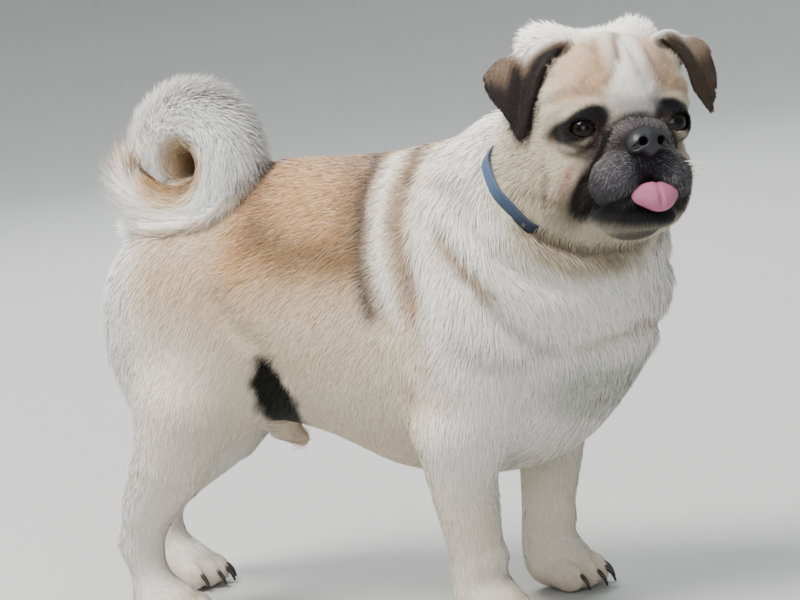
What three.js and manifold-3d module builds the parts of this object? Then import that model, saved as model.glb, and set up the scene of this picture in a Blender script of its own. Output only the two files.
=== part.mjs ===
// A standing pug, life size, out to the tips of its short coat.
// Millimetres. X runs forward, Y to the animal's left, Z up, with the floor at z = 0.
import * as THREE from 'three';
import { mergeVertices } from 'three/addons/utils/BufferGeometryUtils.js';
import Module from 'manifold-3d';

const wasm = await Module();
wasm.setup();

// Driving dimensions of the body
const BACK_HEIGHT = 310;
const CHEST_X = 88;
const CHEST_HALF_WIDTH = 86;
const CHEST_DEPTH = 220;
const LOIN_X = -4;
const LOIN_HALF_WIDTH = 75;
const RUMP_X = -80;
const FORELEG_X = 126;
const FORE_STANCE = 60;
const HIND_STANCE = 58;
const HOCK_HEIGHT = 62;
const FORE_PAW = [24, 21, 18];
const HIND_PAW = [23, 19.5, 17];
const TOE_SIZE = [15, 7, 11.5];
const CLAW_LENGTH = 11;

// Stance: how far each foot of the left side stands from the place of the right one
const LEFT_FORE_BACK = -8;
const LEFT_FORE_IN = -6;
const LEFT_HIND_BACK = -55;
const LEFT_HIND_IN = -8;

// Tail: a curl of a little more than one turn, carried over the back
const TAIL_CENTRE = [-77, -10, 306];
const TAIL_RING = 28;
const TAIL_THICKNESS = 23.5;
const TAIL_START_ANGLE = 242;
const TAIL_TURN = 412;
const TAIL_SIDE_TRAVEL = 56;
const TAIL_LENGTHS = 4;
const TAIL_LOCKS = 10;
const LOCK_DEPTH = 5;

// Head: its own frame has its origin between the eyes
const HEAD_PLACE = [225.3, -13.1, 312];
const HEAD_YAW = -41;
const HEAD_PITCH = 5;
const HEAD_ROLL = 4.5;
const SKULL_HALF_WIDTH = 51;
const EYE_RADIUS = 11.5;
const EYE_X = 37.5;
const EYE_Y = 28.7;
const EYE_TURN = 18;
const EYE_OPENING = [17.6, 12];
const LID_THICKNESS = 2.4;
const NOSE_X = 62;
const NOSE_Z = -10;
const NOSE_SIZE = [10.5, 13.5, 9.2];
const MUZZLE_SET = [1, 2.5, 0];
const EAR_THICKNESS = 4.2;
const TONGUE_WIDTH = 31;
const COLLAR_WIDTH = 11;
const COLLAR_THICKNESS = 3.2;
const COLLAR_CENTRE = [193.6, -14.4, 293.7];
const COLLAR_TURN = [-26, 37.5, 0];

const GAP = 0.3;

// The same small variations each time
let seed = 7;
function random() {
  seed = (seed * 1103515245 + 12345) % 2147483648;
  return seed / 2147483648;
}

// Small helpers for places and turns
const point = (x, y, z) => new THREE.Vector3(x, y, z);
const angle = (degrees) => THREE.MathUtils.degToRad(degrees);
const mirrored = ([x, y, z], side) => [x, side * y, z];

// The turn of a body that looks along +X: yaw to the left, pitch up, roll that drops the left side.
function turned(yaw, pitch, roll) {
  return new THREE.Matrix4()
    .makeRotationZ(angle(yaw))
    .multiply(new THREE.Matrix4().makeRotationY(angle(-pitch)))
    .multiply(new THREE.Matrix4().makeRotationX(angle(-roll)));
}

// Flesh is a blend of rounded masses. Each mass gives a point's distance to its surface, negative inside.
function egg(centre, radii, turn = null) {
  const back = turn ? turn.clone().invert() : null;
  return (p) => {
    const q = p.clone().sub(point(...centre));
    if (back) q.applyMatrix4(back);
    const near = Math.hypot(q.x / radii[0], q.y / radii[1], q.z / radii[2]);
    const slope = Math.hypot(q.x / radii[0] ** 2, q.y / radii[1] ** 2, q.z / radii[2] ** 2);
    return slope > 1e-9 ? (near * (near - 1)) / slope : -Math.min(...radii);
  };
}

function limb(places, radii) {
  const joints = places.map((place) => point(...place));
  return (p) => {
    let nearest = Infinity;
    for (let i = 0; i + 1 < joints.length; i++) {
      const along = joints[i + 1].clone().sub(joints[i]);
      const share = THREE.MathUtils.clamp(p.clone().sub(joints[i]).dot(along) / along.lengthSq(), 0, 1);
      const middle = joints[i].clone().addScaledVector(along, share);
      nearest = Math.min(nearest, p.distanceTo(middle) - THREE.MathUtils.lerp(radii[i], radii[i + 1], share));
    }
    return nearest;
  };
}

function smoothMin(a, b, width) {
  const mix = THREE.MathUtils.clamp(0.5 + (0.5 * (b - a)) / width, 0, 1);
  return b + (a - b) * mix - width * mix * (1 - mix);
}

function blend(width, ...masses) {
  return (p) => masses.map((mass) => mass(p)).reduce((a, b) => smoothMin(a, b, width));
}

// A mass with a fillet on to a neighbour that reaches no further than the given distance from the mass.
function filleted(mass, neighbour, width, reach) {
  return (p) => {
    const own = mass(p);
    return Math.max(smoothMin(own, neighbour(p), width), own - reach);
  };
}

// The way out from a start inside a mass to the level set of its surface.
function reach(field, start, direction, level) {
  let travelled = 0;
  for (let step = 0; step < 160; step++) {
    const distance = field(start.clone().addScaledVector(direction, travelled)) - level;
    if (distance > -0.02) break;
    travelled -= distance * 0.85;
  }
  return start.clone().addScaledVector(direction, travelled);
}

// A closed skin round a spine: a capsule is bent along it, and its points go out to the field.
function wrap(field, places, { around, along, caps, level = 0 }) {
  const spine = new THREE.CatmullRomCurve3(places.map((place) => point(...place)));
  const length = 10;
  const skin = new THREE.CapsuleGeometry(1, length, caps, around, along);
  const frames = spine.computeFrenetFrames(along, false);
  const at = skin.getAttribute('position');
  for (let i = 0; i < at.count; i++) {
    const height = THREE.MathUtils.clamp(at.getY(i), -length / 2, length / 2);
    const share = height / length + 0.5;
    const ring = Math.round(share * along);
    const direction = point(0, 0, 0)
      .addScaledVector(frames.normals[ring], at.getZ(i))
      .addScaledVector(frames.binormals[ring], at.getX(i))
      .addScaledVector(frames.tangents[ring], at.getY(i) - height)
      .normalize();
    const end = reach(field, spine.getPointAt(share), direction, level);
    at.setXYZ(i, end.x, end.y, end.z);
  }
  return skin;
}

// A closed skin round one point, with its rings set closer toward the pole, which looks along +X.
function wrapBall(field, centre, { around, rings, level = 0, crowd = 1 }) {
  const skin = new THREE.SphereGeometry(1, around, rings);
  const at = skin.getAttribute('position');
  for (let i = 0; i < at.count; i++) {
    const fromPole = Math.acos(THREE.MathUtils.clamp(at.getY(i), -1, 1));
    const polar = Math.PI * (fromPole / Math.PI) ** crowd;
    const turn = Math.atan2(at.getZ(i), at.getX(i));
    const wide = fromPole < 1e-6 || fromPole > Math.PI - 1e-6 ? 0 : Math.sin(polar);
    const direction = point(Math.cos(polar), wide * Math.sin(turn), wide * Math.cos(turn));
    const end = reach(field, point(...centre), direction.normalize(), level);
    at.setXYZ(i, end.x, end.y, end.z);
  }
  return skin;
}

// Solids for joining and cutting
function solid(geometry) {
  const bare = geometry.clone();
  for (const name of Object.keys(bare.attributes)) {
    if (name !== 'position') bare.deleteAttribute(name);
  }
  const merged = mergeVertices(bare, 1e-4);
  const corners = [];
  for (let i = 0; i < merged.index.count; i += 3) {
    const [a, b, c] = [0, 1, 2].map((k) => merged.index.getX(i + k));
    if (a !== b && b !== c && c !== a) corners.push(a, b, c);
  }
  return new wasm.Manifold(
    new wasm.Mesh({
      numProp: 3,
      vertProperties: new Float32Array(merged.attributes.position.array),
      triVerts: new Uint32Array(corners),
    }),
  );
}

function largest(shape) {
  return shape.decompose().reduce((a, b) => (a.volume() > b.volume() ? a : b));
}

function geometryOf(shape) {
  const mesh = largest(shape).getMesh();
  const points = new Float32Array((mesh.vertProperties.length / mesh.numProp) * 3);
  for (let i = 0; i < points.length / 3; i++) {
    for (let k = 0; k < 3; k++) points[3 * i + k] = mesh.vertProperties[i * mesh.numProp + k];
  }
  const geometry = new THREE.BufferGeometry();
  geometry.setAttribute('position', new THREE.BufferAttribute(points, 3));
  geometry.setIndex(new THREE.BufferAttribute(new Uint32Array(mesh.triVerts), 1));
  geometry.computeVertexNormals();
  return geometry;
}

const union = (...shapes) => shapes.reduce((a, b) => a.add(b));

// A round cord along a smooth line, closed at both ends
function cord(places, radius, steps, sides = 8) {
  const section = new THREE.Shape();
  section.absarc(0, 0, radius, 0, 2 * Math.PI, false);
  return new THREE.ExtrudeGeometry(section, {
    steps,
    bevelEnabled: false,
    curveSegments: sides,
    extrudePath: new THREE.CatmullRomCurve3(places.map((place) => point(...place))),
  });
}

// Trunk: rib cage, loin, rump, forechest and brisket, with the small pouch of skin under the belly
const ribCage = egg([CHEST_X, 0, BACK_HEIGHT - CHEST_DEPTH / 2], [112, CHEST_HALF_WIDTH, CHEST_DEPTH / 2]);
const loin = egg([LOIN_X, 0, BACK_HEIGHT - 94], [108, LOIN_HALF_WIDTH, 93]);
const rump = egg([RUMP_X, 0, BACK_HEIGHT - 90], [64, 66, 84]);
const forechest = egg([CHEST_X + 80, 8, 218], [78, 93, 88]);
const brisket = egg([CHEST_X + 48, 4, 170], [74, 74, 76]);
const pouch = limb([[-34, 0, 138], [-6, 0, 122], [10, 0, 117]], [13, 12, 8]);
const bareTrunk = blend(30, ribCage, loin, rump, forechest, brisket);
const trunk = blend(10, bareTrunk, pouch);
const TRUNK_SPINE = [[-78, 0, 222], [-20, 0, 215], [60, 0, 203], [120, 2, 198], [165, 6, 205]];
const TRUNK_DETAIL = { around: 28, along: 14, caps: 6 };

const trunkSolid = solid(wrap(trunk, TRUNK_SPINE, TRUNK_DETAIL));
const trunkRoom = solid(wrap(trunk, TRUNK_SPINE, { ...TRUNK_DETAIL, level: GAP + 0.05 }));

// Neck, sunk into the trunk, with its ruff running out over it
const neckMass = limb([[140, -1, 244], [176, -3, 266], [206, -12, 297]], [70, 71, 58]);
const neckField = filleted(neckMass, trunk, 26, 9);
const NECK_SPINE = [[150, -1, 250], [176, -4, 268], [200, -10, 290]];
const NECK_DETAIL = { around: 28, along: 5, caps: 6 };

// The flat cut where neck and head meet, just ahead of the collar
function beyondCut(ahead) {
  const size = 400;
  const block = new THREE.BoxGeometry(size, size, size).translate(ahead * size * 0.5, 0, 0);
  block.translate(COLLAR_WIDTH / 2 + 5 + (ahead > 0 ? 0 : GAP), 0, 0);
  return solid(block.applyMatrix4(turned(...COLLAR_TURN)).translate(...COLLAR_CENTRE));
}

const neckSolid = solid(wrap(neckField, NECK_SPINE, NECK_DETAIL)).subtract(beyondCut(1));
const neckRoom = solid(wrap(neckField, NECK_SPINE, { ...NECK_DETAIL, level: GAP + 0.05 }));

// Head, in its own frame
const headPlace = new THREE.Matrix4()
  .makeTranslation(...HEAD_PLACE)
  .multiply(turned(HEAD_YAW, HEAD_PITCH, HEAD_ROLL));

// The muzzle is carried a little to the left of the skull's middle line.
const onMuzzle = (place) => place.map((value, i) => value + MUZZLE_SET[i]);

function headMass() {
  const skull = egg([-4, 0, 12], [58, SKULL_HALF_WIDTH, 50]);
  const forehead = egg([24, 0, 34], [26, 36, 24]);
  const throat = egg([-8, 0, -40], [50, 44, 34]);
  const muzzleRoot = egg(onMuzzle([37, 0, -22]), [24, 23, 25]);
  const chin = egg(onMuzzle([38, 0, -55]), [19, 26, 15]);
  let whole = blend(12, skull, forehead);
  for (const side of [-1, 1]) {
    whole = blend(12, whole, egg([-8, side * 28, 47], [28, 20, 20]));
    whole = blend(14, whole, egg([6, side * 26, -32], [36, 28, 34]));
    whole = blend(10, whole, egg([22, side * 29, 16], [23, 22, 22]));
  }
  whole = blend(20, whole, throat);
  let muzzle = blend(8, muzzleRoot, chin);
  const noseRoll = limb(
    [[42, -22, -24], [46, -18.5, -11], [51, -9, -4.5], [51, 9, -4.5], [46, 18.5, -11], [42, 22, -24]].map(onMuzzle),
    [9, 8.5, 8, 8, 8.5, 9],
  );
  muzzle = blend(5, muzzle, noseRoll);
  for (const side of [-1, 1]) {
    muzzle = blend(4, muzzle, egg(onMuzzle([47, side * 16, -32.5]), [20.5, 17.2, 18.5]));
  }
  whole = blend(3.5, whole, muzzle);
  for (const side of [-1, 1]) {
    const lids = egg([EYE_X, side * EYE_Y, 0], Array(3).fill(EYE_RADIUS + LID_THICKNESS));
    whole = blend(3, whole, lids);
  }
  return whole;
}

const headOwn = headMass();
const fromHead = headPlace.clone().invert();
const neckInHead = (p) => neckMass(p.clone().applyMatrix4(headPlace));
const headField = filleted(headOwn, neckInHead, 14, 34);
const HEAD_CENTRE = [4, 0, -8];
const HEAD_DETAIL = { around: 39, rings: 28, crowd: 1.3 };

// The eye looks out and a little to the side. Its frame: X along the look.
function eyePlace(side) {
  return new THREE.Matrix4()
    .makeTranslation(EYE_X, side * EYE_Y, 0)
    .multiply(turned(side * EYE_TURN, 0, 0));
}

// An almond prism that opens the lids in front of the eyeball
function eyeOpening(side) {
  const [width, height] = EYE_OPENING;
  const almond = new THREE.Shape();
  almond.moveTo(-width / 2, -1);
  almond.quadraticCurveTo(-width * 0.18, height * 0.98, width / 2, 0.5);
  almond.quadraticCurveTo(width * 0.12, -height * 1.0, -width / 2, -1);
  const prism = new THREE.ExtrudeGeometry(almond, { depth: 30, bevelEnabled: false, curveSegments: 7 });
  const stand = new THREE.Matrix4().makeBasis(point(0, side, 0), point(0, 0, 1), point(side, 0, 0));
  if (side > 0) prism.applyMatrix4(stand);
  else prism.applyMatrix4(stand).translate(30, 0, 0);
  return prism.translate(2, 0, 0).applyMatrix4(eyePlace(side));
}

function eyeball(radius, around, rings) {
  return new THREE.SphereGeometry(radius, around, rings).rotateZ(-Math.PI / 2);
}

// The lips' line on one side, from the middle to the corner of the mouth, laid on to the face
const LIP_LINE = [[64, 0, -36], [65, 7, -39.5], [63, 14, -43.5], [59, 21, -47.5], [50, 28, -51], [41, 32, -51.5], [32, 34, -51]];
const MOUTH_MIDDLE = [24, 0, -42];
const LIP_GROOVE = 2;

function mouthCut() {
  const onFace = (place) => {
    const direction = point(...onMuzzle(place)).sub(point(...MOUTH_MIDDLE)).normalize();
    const end = reach(headOwn, point(...MOUTH_MIDDLE), direction, 0);
    return [end.x, end.y, end.z];
  };
  const left = LIP_LINE.map(onFace);
  const right = LIP_LINE.slice(1).reverse().map((place) => onFace(mirrored(place, -1)));
  return cord([...right, ...left], LIP_GROOVE, 26, 3);
}

// The tongue's tip hangs over the lower lip, a little to the left.
const tongueMass = blend(
  3,
  egg(onMuzzle([52, 4, -37.5]), [15, TONGUE_WIDTH / 2 - 1, 4], turned(0, -14, 0)),
  egg(onMuzzle([63, 4, -43.5]), [4.2, TONGUE_WIDTH / 2, 9]),
);

function tongueShape(level) {
  return wrapBall(tongueMass, onMuzzle([60.5, 4, -40.5]), { around: 16, rings: 12, level });
}

const worldSolid = (geometry) => solid(geometry.clone().applyMatrix4(headPlace));

// Nose leather with its two nostrils and the groove between them
const noseMass = blend(
  4,
  egg(onMuzzle([NOSE_X, 0, NOSE_Z]), NOSE_SIZE),
  egg(onMuzzle([NOSE_X + 1, -7.5, NOSE_Z - 1]), [8.5, 7, 7]),
  egg(onMuzzle([NOSE_X + 1, 7.5, NOSE_Z - 1]), [8.5, 7, 7]),
);
const NOSE_DETAIL = { around: 18, rings: 11 };

function headSolid() {
  let shape = worldSolid(wrapBall(headField, HEAD_CENTRE, HEAD_DETAIL));
  shape = shape.subtract(beyondCut(-1)).subtract(trunkRoom).subtract(collarRoom);
  shape = shape.subtract(worldSolid(wrapBall(noseMass, onMuzzle([NOSE_X, 0, NOSE_Z]), { ...NOSE_DETAIL, level: GAP })));
  shape = shape.subtract(worldSolid(mouthCut()));
  shape = shape.subtract(worldSolid(tongueShape(GAP + 0.1)));
  for (const side of [-1, 1]) {
    const socket = eyeball(EYE_RADIUS + GAP, 14, 9).applyMatrix4(eyePlace(side));
    shape = shape.subtract(worldSolid(socket)).subtract(worldSolid(eyeOpening(side)));
  }
  return shape;
}

function noseSolid() {
  let shape = worldSolid(wrapBall(noseMass, onMuzzle([NOSE_X, 0, NOSE_Z]), NOSE_DETAIL));
  for (const side of [-1, 1]) {
    const nostril = [[NOSE_X + 7, side * 4.2, NOSE_Z + 1.2], [NOSE_X + 10, side * 6.4, NOSE_Z - 1.5],
      [NOSE_X + 7, side * 11, NOSE_Z - 3.5]];
    shape = shape.subtract(worldSolid(cord(nostril.map(onMuzzle), 2.1, 6, 4)));
  }
  return shape;
}

// One ear is a thin sheet that rises from the skull, folds over and hangs as a flap, open behind as a cup.
// It is laid out from front to rear across, and from the root over the fold to the hem along.
// The right ear lies close to the cheek, the left one is held out.
const EARS = {
  right: {
    fold: [[27, -31, 55], [-2, -51, 57], [-28, -63.5, 39]],
    hem: [[21, -53, 21], [11, -59, -1], [2, -62.5, 10], [-9, -64.5, 21], [-28, -65, 33]],
  },
  left: {
    fold: [[23, 36, 55], [1, 62, 62], [-13, 80, 42]],
    hem: [[15, 60, 20], [10, 72, 6.5], [5, 77, 14.5], [1, 76.5, 27], [-10, 80, 38]],
  },
};

function earSheet(name) {
  const side = name === 'right' ? -1 : 1;
  const root = (u) => point(24 - 52 * u, side * (26 + 16 * u), 44 - 19 * u + 8 * u * (1 - u));
  const foldLine = new THREE.QuadraticBezierCurve3(...EARS[name].fold.map((place) => point(...place)));
  const hem = new THREE.CatmullRomCurve3(EARS[name].hem.map((place) => point(...place)));
  const sheet = new THREE.BoxGeometry(1, 1, 1, 8, 10, 1);
  const middle = (u, v) => {
    const fold = foldLine.getPoint(u);
    const rise = root(u).lerp(fold, 0.55).add(point(0, -side * 2, 3));
    const fall = fold.clone().lerp(hem.getPoint(u), 0.5).add(point(0, side * 4 * (1 - u), 1));
    return new THREE.CatmullRomCurve3([root(u), rise, fold, fall, hem.getPoint(u)]).getPoint(v);
  };
  const at = sheet.getAttribute('position');
  for (let i = 0; i < at.count; i++) {
    const u = at.getX(i) + 0.5;
    const v = at.getY(i) + 0.5;
    const du = middle(Math.min(1, u + 0.02), v).sub(middle(Math.max(0, u - 0.02), v));
    const dv = middle(u, Math.min(1, v + 0.02)).sub(middle(u, Math.max(0, v - 0.02)));
    const normal = du.cross(dv).normalize().multiplyScalar(-side);
    const thick = EAR_THICKNESS * (1 - 0.35 * v) * (1 - 0.3 * Math.abs(2 * u - 1) ** 3);
    const crease = -3.5 * Math.exp(-(((u - 0.52) / 0.14) ** 2)) * THREE.MathUtils.smoothstep(v, 0.25, 0.6);
    const end = middle(u, v).addScaledVector(normal, at.getZ(i) * thick + crease);
    at.setXYZ(i, end.x, end.y, end.z);
  }
  return sheet;
}

// A mirrored sheet comes out inside out, so its faces are turned round.
function facingOut(geometry) {
  const made = solid(geometry);
  if (made.volume() > 0) return made;
  const corners = geometry.index.array;
  for (let i = 0; i < corners.length; i += 3) [corners[i + 1], corners[i + 2]] = [corners[i + 2], corners[i + 1]];
  return solid(geometry);
}

const headRoom = worldSolid(wrapBall(headField, HEAD_CENTRE, { ...HEAD_DETAIL, level: GAP + 0.05 }));

function earSolid(name) {
  return facingOut(earSheet(name).applyMatrix4(headPlace)).subtract(headRoom).subtract(neckRoom);
}

// Legs: a column wrapped round a bent spine, a paw with four toes and their claws
const floorCut = solid(new THREE.BoxGeometry(1200, 800, 100).translate(0, 0, -50));

function toes(x, y, size, heading) {
  const pieces = [];
  for (let i = 0; i < 4; i++) {
    const spread = (i - 1.5) / 1.5;
    const centre = [x + size[0] * (0.78 - 0.3 * spread * spread), y + size[1] * 0.72 * spread, TOE_SIZE[2] - 0.5];
    const turn = turned(heading + 12 * spread, -8, 0);
    pieces.push(solid(wrapBall(egg(centre, TOE_SIZE, turn), centre, { around: 7, rings: 6 })));
    const claw = new THREE.ConeGeometry(2.6, CLAW_LENGTH, 6).rotateZ(-Math.PI / 2 - 0.5);
    claw.translate(TOE_SIZE[0] + 1.5, 0, -1.5).applyMatrix4(turned(heading + 12 * spread, 0, 0));
    pieces.push(solid(claw.translate(...centre)));
  }
  return union(...pieces);
}

function foreleg(side) {
  const back = side > 0 ? LEFT_FORE_BACK : 0;
  const inward = side > 0 ? LEFT_FORE_IN : 0;
  const out = side > 0 ? 7 : 0;
  const x = FORELEG_X;
  const footY = side * (FORE_STANCE + inward);
  const shoulder = egg([x + 8, side * 62, 172], [44, 32, 66]);
  const column = limb(
    [[x + 0.4 * back, side * (70 + out), 132], [x + 0.6 * back, side * (67 + out), 110],
      [x + 1 + 0.9 * back, side * (62 + inward), 56], [x + back, footY, 34]],
    [27, 25, 19.5, 19.5],
  );
  const paw = egg([x + 7 + back, footY, FORE_PAW[2] - 1], FORE_PAW);
  const own = blend(14, blend(16, shoulder, column), paw);
  const field = filleted(own, bareTrunk, 16, 8);
  const spine = [[x + 8, side * 64, 190], [x + 2 + 0.3 * back, side * (69 + 0.8 * out), 140],
    [x + 0.7 * back, side * (66 + 0.5 * out + 0.4 * inward), 90], [x + 1 + 0.9 * back, side * (61 + inward), 50],
    [x + 6 + back, footY, 18]];
  const shape = union(
    solid(wrap(field, spine, { around: 16, along: 11, caps: 3 })),
    toes(x + 7 + back, footY, FORE_PAW, 0),
  );
  return shape.subtract(trunkRoom).subtract(neckRoom).subtract(floorCut);
}

function hindleg(side) {
  const back = side > 0 ? LEFT_HIND_BACK : 0;
  const inward = side > 0 ? LEFT_HIND_IN : 0;
  const y = (wide) => side * (wide + inward);
  const thigh = egg([-84, side * 44, 192], [60, 36, 74], turned(0, 10, 0));
  const shank = limb(
    [[-80 + 0.3 * back, side * 58, 150], [-94 + 0.5 * back, y(60), 118], [-118 + 0.8 * back, y(60), 86],
      [-130 + back, y(HIND_STANCE), HOCK_HEIGHT - 2]],
    [36, 30, 22, 15.5],
  );
  const pastern = limb([[-132 + back, y(HIND_STANCE), HOCK_HEIGHT - 2], [-125 + back, y(HIND_STANCE), 26]], [14.5, 15]);
  const paw = egg([-116 + back, y(HIND_STANCE), HIND_PAW[2] - 1], HIND_PAW);
  const own = blend(12, blend(10, blend(20, thigh, shank), pastern), paw);
  const field = filleted(own, bareTrunk, 18, 8);
  const spine = [[-82, side * 46, 210], [-82 + 0.2 * back, side * 54, 165], [-97 + 0.55 * back, y(59), 118],
    [-119 + 0.85 * back, y(60), 84], [-130 + back, y(59), 56], [-126 + back, y(HIND_STANCE), 36],
    [-117 + back, y(HIND_STANCE), 17]];
  const shape = union(
    solid(wrap(field, spine, { around: 16, along: 14, caps: 3 })),
    toes(-116 + back, y(HIND_STANCE), HIND_PAW, 0),
  );
  return shape.subtract(trunkRoom).subtract(floorCut);
}

// Tail: the curl in a few lengths, each with flat ends that face the next
function tailPoint(share) {
  const turn = angle(TAIL_START_ANGLE - TAIL_TURN * share);
  const ring = TAIL_RING + 2 * Math.cos(turn);
  const sideways = TAIL_SIDE_TRAVEL * (0.32 - share);
  return point(
    TAIL_CENTRE[0] + ring * Math.cos(turn),
    TAIL_CENTRE[1] + sideways,
    TAIL_CENTRE[2] + ring * Math.sin(turn),
  );
}

function tailRadius(share) {
  const swell = 3 * Math.sin(Math.PI * Math.min(1, share * 1.3));
  return TAIL_THICKNESS + swell - 12 * Math.max(0, (share - 0.8) / 0.2) ** 2;
}

// A place in the curl: how far along it is, how far round its section from the outer rim, and how deep
function tailPlace(share, around, radius) {
  const middle = tailPoint(share);
  const tangent = tailPoint(share + 0.004).sub(tailPoint(share - 0.004)).normalize();
  const outward = middle.clone().sub(point(TAIL_CENTRE[0], middle.y, TAIL_CENTRE[2])).normalize();
  const sideways = tangent.cross(outward).normalize();
  const inner = Math.cos(around) < 0 ? 1 + 0.12 * Math.cos(around) : 1;
  return middle
    .addScaledVector(outward, Math.cos(around) * radius * inner)
    .addScaledVector(sideways, Math.sin(around) * radius);
}

// A flat tapered lock that lies along the curl: its root is sunk in, its tip reaches the coat's outline.
function tailLock(share, around, size) {
  const lock = new THREE.CylinderGeometry(0.12, 1, 1, 5, 2);
  const at = lock.getAttribute('position');
  const core = tailRadius(share) - LOCK_DEPTH;
  for (let i = 0; i < at.count; i++) {
    const t = at.getY(i) + 0.5;
    const plump = 1 + 0.5 * Math.sin(Math.PI * t);
    const depth = THREE.MathUtils.lerp(core - 4, core + LOCK_DEPTH + 1.5, t ** 0.7);
    const wide = (at.getX(i) * plump * 7 * size) / (core + 2);
    const along = Math.min(share + 0.15 * size * t, 1.03);
    const end = tailPlace(along, around + wide + 0.1 * t, depth + at.getZ(i) * plump * 2.4);
    at.setXYZ(i, end.x, end.y, end.z);
  }
  return facingOut(lock);
}

function tailEnd(share, ahead) {
  const size = 400;
  const tangent = tailPoint(share + 0.004).sub(tailPoint(share - 0.004)).normalize();
  const turn = new THREE.Quaternion().setFromUnitVectors(point(1, 0, 0), tangent);
  const block = new THREE.BoxGeometry(size, size, size).translate(ahead * size * 0.5, 0, 0);
  block.applyQuaternion(turn);
  const middle = tailPoint(share);
  return solid(block.translate(middle.x, middle.y, middle.z));
}

function tailLength(number) {
  const half = GAP / 2 / (angle(TAIL_TURN) * TAIL_RING);
  const first = number === 0 ? 0 : number / TAIL_LENGTHS + half;
  const last = number === TAIL_LENGTHS - 1 ? 1 : (number + 1) / TAIL_LENGTHS - half;
  const piece = new THREE.CylinderGeometry(1, 1, 1, 16, 8);
  const at = piece.getAttribute('position');
  for (let i = 0; i < at.count; i++) {
    const share = THREE.MathUtils.lerp(first, last, at.getY(i) + 0.5);
    const radius = Math.hypot(at.getX(i), at.getZ(i)) * (tailRadius(share) - LOCK_DEPTH + 2);
    const end = tailPlace(share, Math.atan2(at.getZ(i), at.getX(i)), radius);
    at.setXYZ(i, end.x, end.y, end.z);
  }
  let shape = facingOut(piece);
  for (let i = 0; i < TAIL_LOCKS; i++) {
    const share = THREE.MathUtils.lerp(first, last, (i + 0.2 + 0.5 * random()) / TAIL_LOCKS) - 0.05;
    const around = [0, 1.15, -1.15, 0.55, -0.55][i % 5] + 0.5 * (random() - 0.5);
    shape = shape.add(tailLock(Math.max(0.02, share), around, 0.85 + 0.35 * random()));
  }
  if (number > 0) shape = shape.subtract(tailEnd(first, -1));
  if (number < TAIL_LENGTHS - 1) shape = shape.subtract(tailEnd(last, 1));
  return shape.subtract(trunkRoom);
}

// Collar: a flat band round the neck, between the ruff and the cheeks
function collarBand(room) {
  const slab = new THREE.CylinderGeometry(130, 130, COLLAR_WIDTH + 2 * GAP * room, 40, 1).rotateZ(Math.PI / 2);
  slab.applyMatrix4(turned(...COLLAR_TURN)).translate(...COLLAR_CENTRE);
  const level = GAP + COLLAR_THICKNESS + GAP * room;
  const outer = solid(wrap(neckMass, NECK_SPINE, { ...NECK_DETAIL, level })).intersect(solid(slab));
  return room ? outer : outer.subtract(neckRoom);
}

// Materials
const coat = () => new THREE.MeshStandardMaterial({ color: 0xe2d3b8, roughness: 0.95, metalness: 0 });
const darkCoat = () => new THREE.MeshStandardMaterial({ color: 0x4a3b33, roughness: 0.95, metalness: 0 });
const eyeSurface = () => new THREE.MeshStandardMaterial({ color: 0x24140d, roughness: 0.08, metalness: 0 });
const noseLeather = () => new THREE.MeshStandardMaterial({ color: 0x26262c, roughness: 0.45, metalness: 0 });
const tongueFlesh = () => new THREE.MeshStandardMaterial({ color: 0xd98a9c, roughness: 0.4, metalness: 0 });
const collarWeb = () => new THREE.MeshStandardMaterial({ color: 0x3f6f9a, roughness: 0.8, metalness: 0 });

const body = new THREE.Group();
const head = new THREE.Group();
head.applyMatrix4(headPlace);

function addTo(group, name, shape, material) {
  const geometry = geometryOf(shape);
  if (group === head) geometry.applyMatrix4(fromHead);
  const mesh = new THREE.Mesh(geometry, material);
  mesh.name = name;
  group.add(mesh);
}

const collarRoom = collarBand(1);
addTo(body, 'torso', trunkSolid.subtract(neckRoom).subtract(collarRoom), coat());
addTo(body, 'neck', neckSolid, coat());
for (const [name, side] of [['right', -1], ['left', 1]]) {
  addTo(body, `foreleg_${name}`, foreleg(side), coat());
  addTo(body, `hindleg_${name}`, hindleg(side), coat());
}
for (let i = 0; i < TAIL_LENGTHS; i++) addTo(body, `tail_${i + 1}`, tailLength(i), coat());
addTo(body, 'collar', collarBand(0), collarWeb());

addTo(head, 'head', headSolid(), coat());
addTo(head, 'nose', noseSolid(), noseLeather());
addTo(head, 'tongue', worldSolid(tongueShape(0)), tongueFlesh());
for (const [name, side] of [['right', -1], ['left', 1]]) {
  addTo(head, `ear_${name}`, earSolid(name), darkCoat());
  const ball = new THREE.Mesh(eyeball(EYE_RADIUS, 14, 9), eyeSurface());
  ball.name = `eye_${name}`;
  ball.applyMatrix4(eyePlace(side));
  head.add(ball);
}

// The whole stands with its origin on the floor, at the middle of its outline seen from above.
const pug = new THREE.Group();
pug.add(body, head);
const outline = new THREE.Box3().setFromObject(pug, true);
const centre = outline.getCenter(point(0, 0, 0));
pug.position.set(-centre.x, -centre.y, -outline.min.z);

export default pug;
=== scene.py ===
import math

import bpy
import numpy as np
from mathutils import Matrix, Vector
from mathutils.bvhtree import BVHTree


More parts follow.
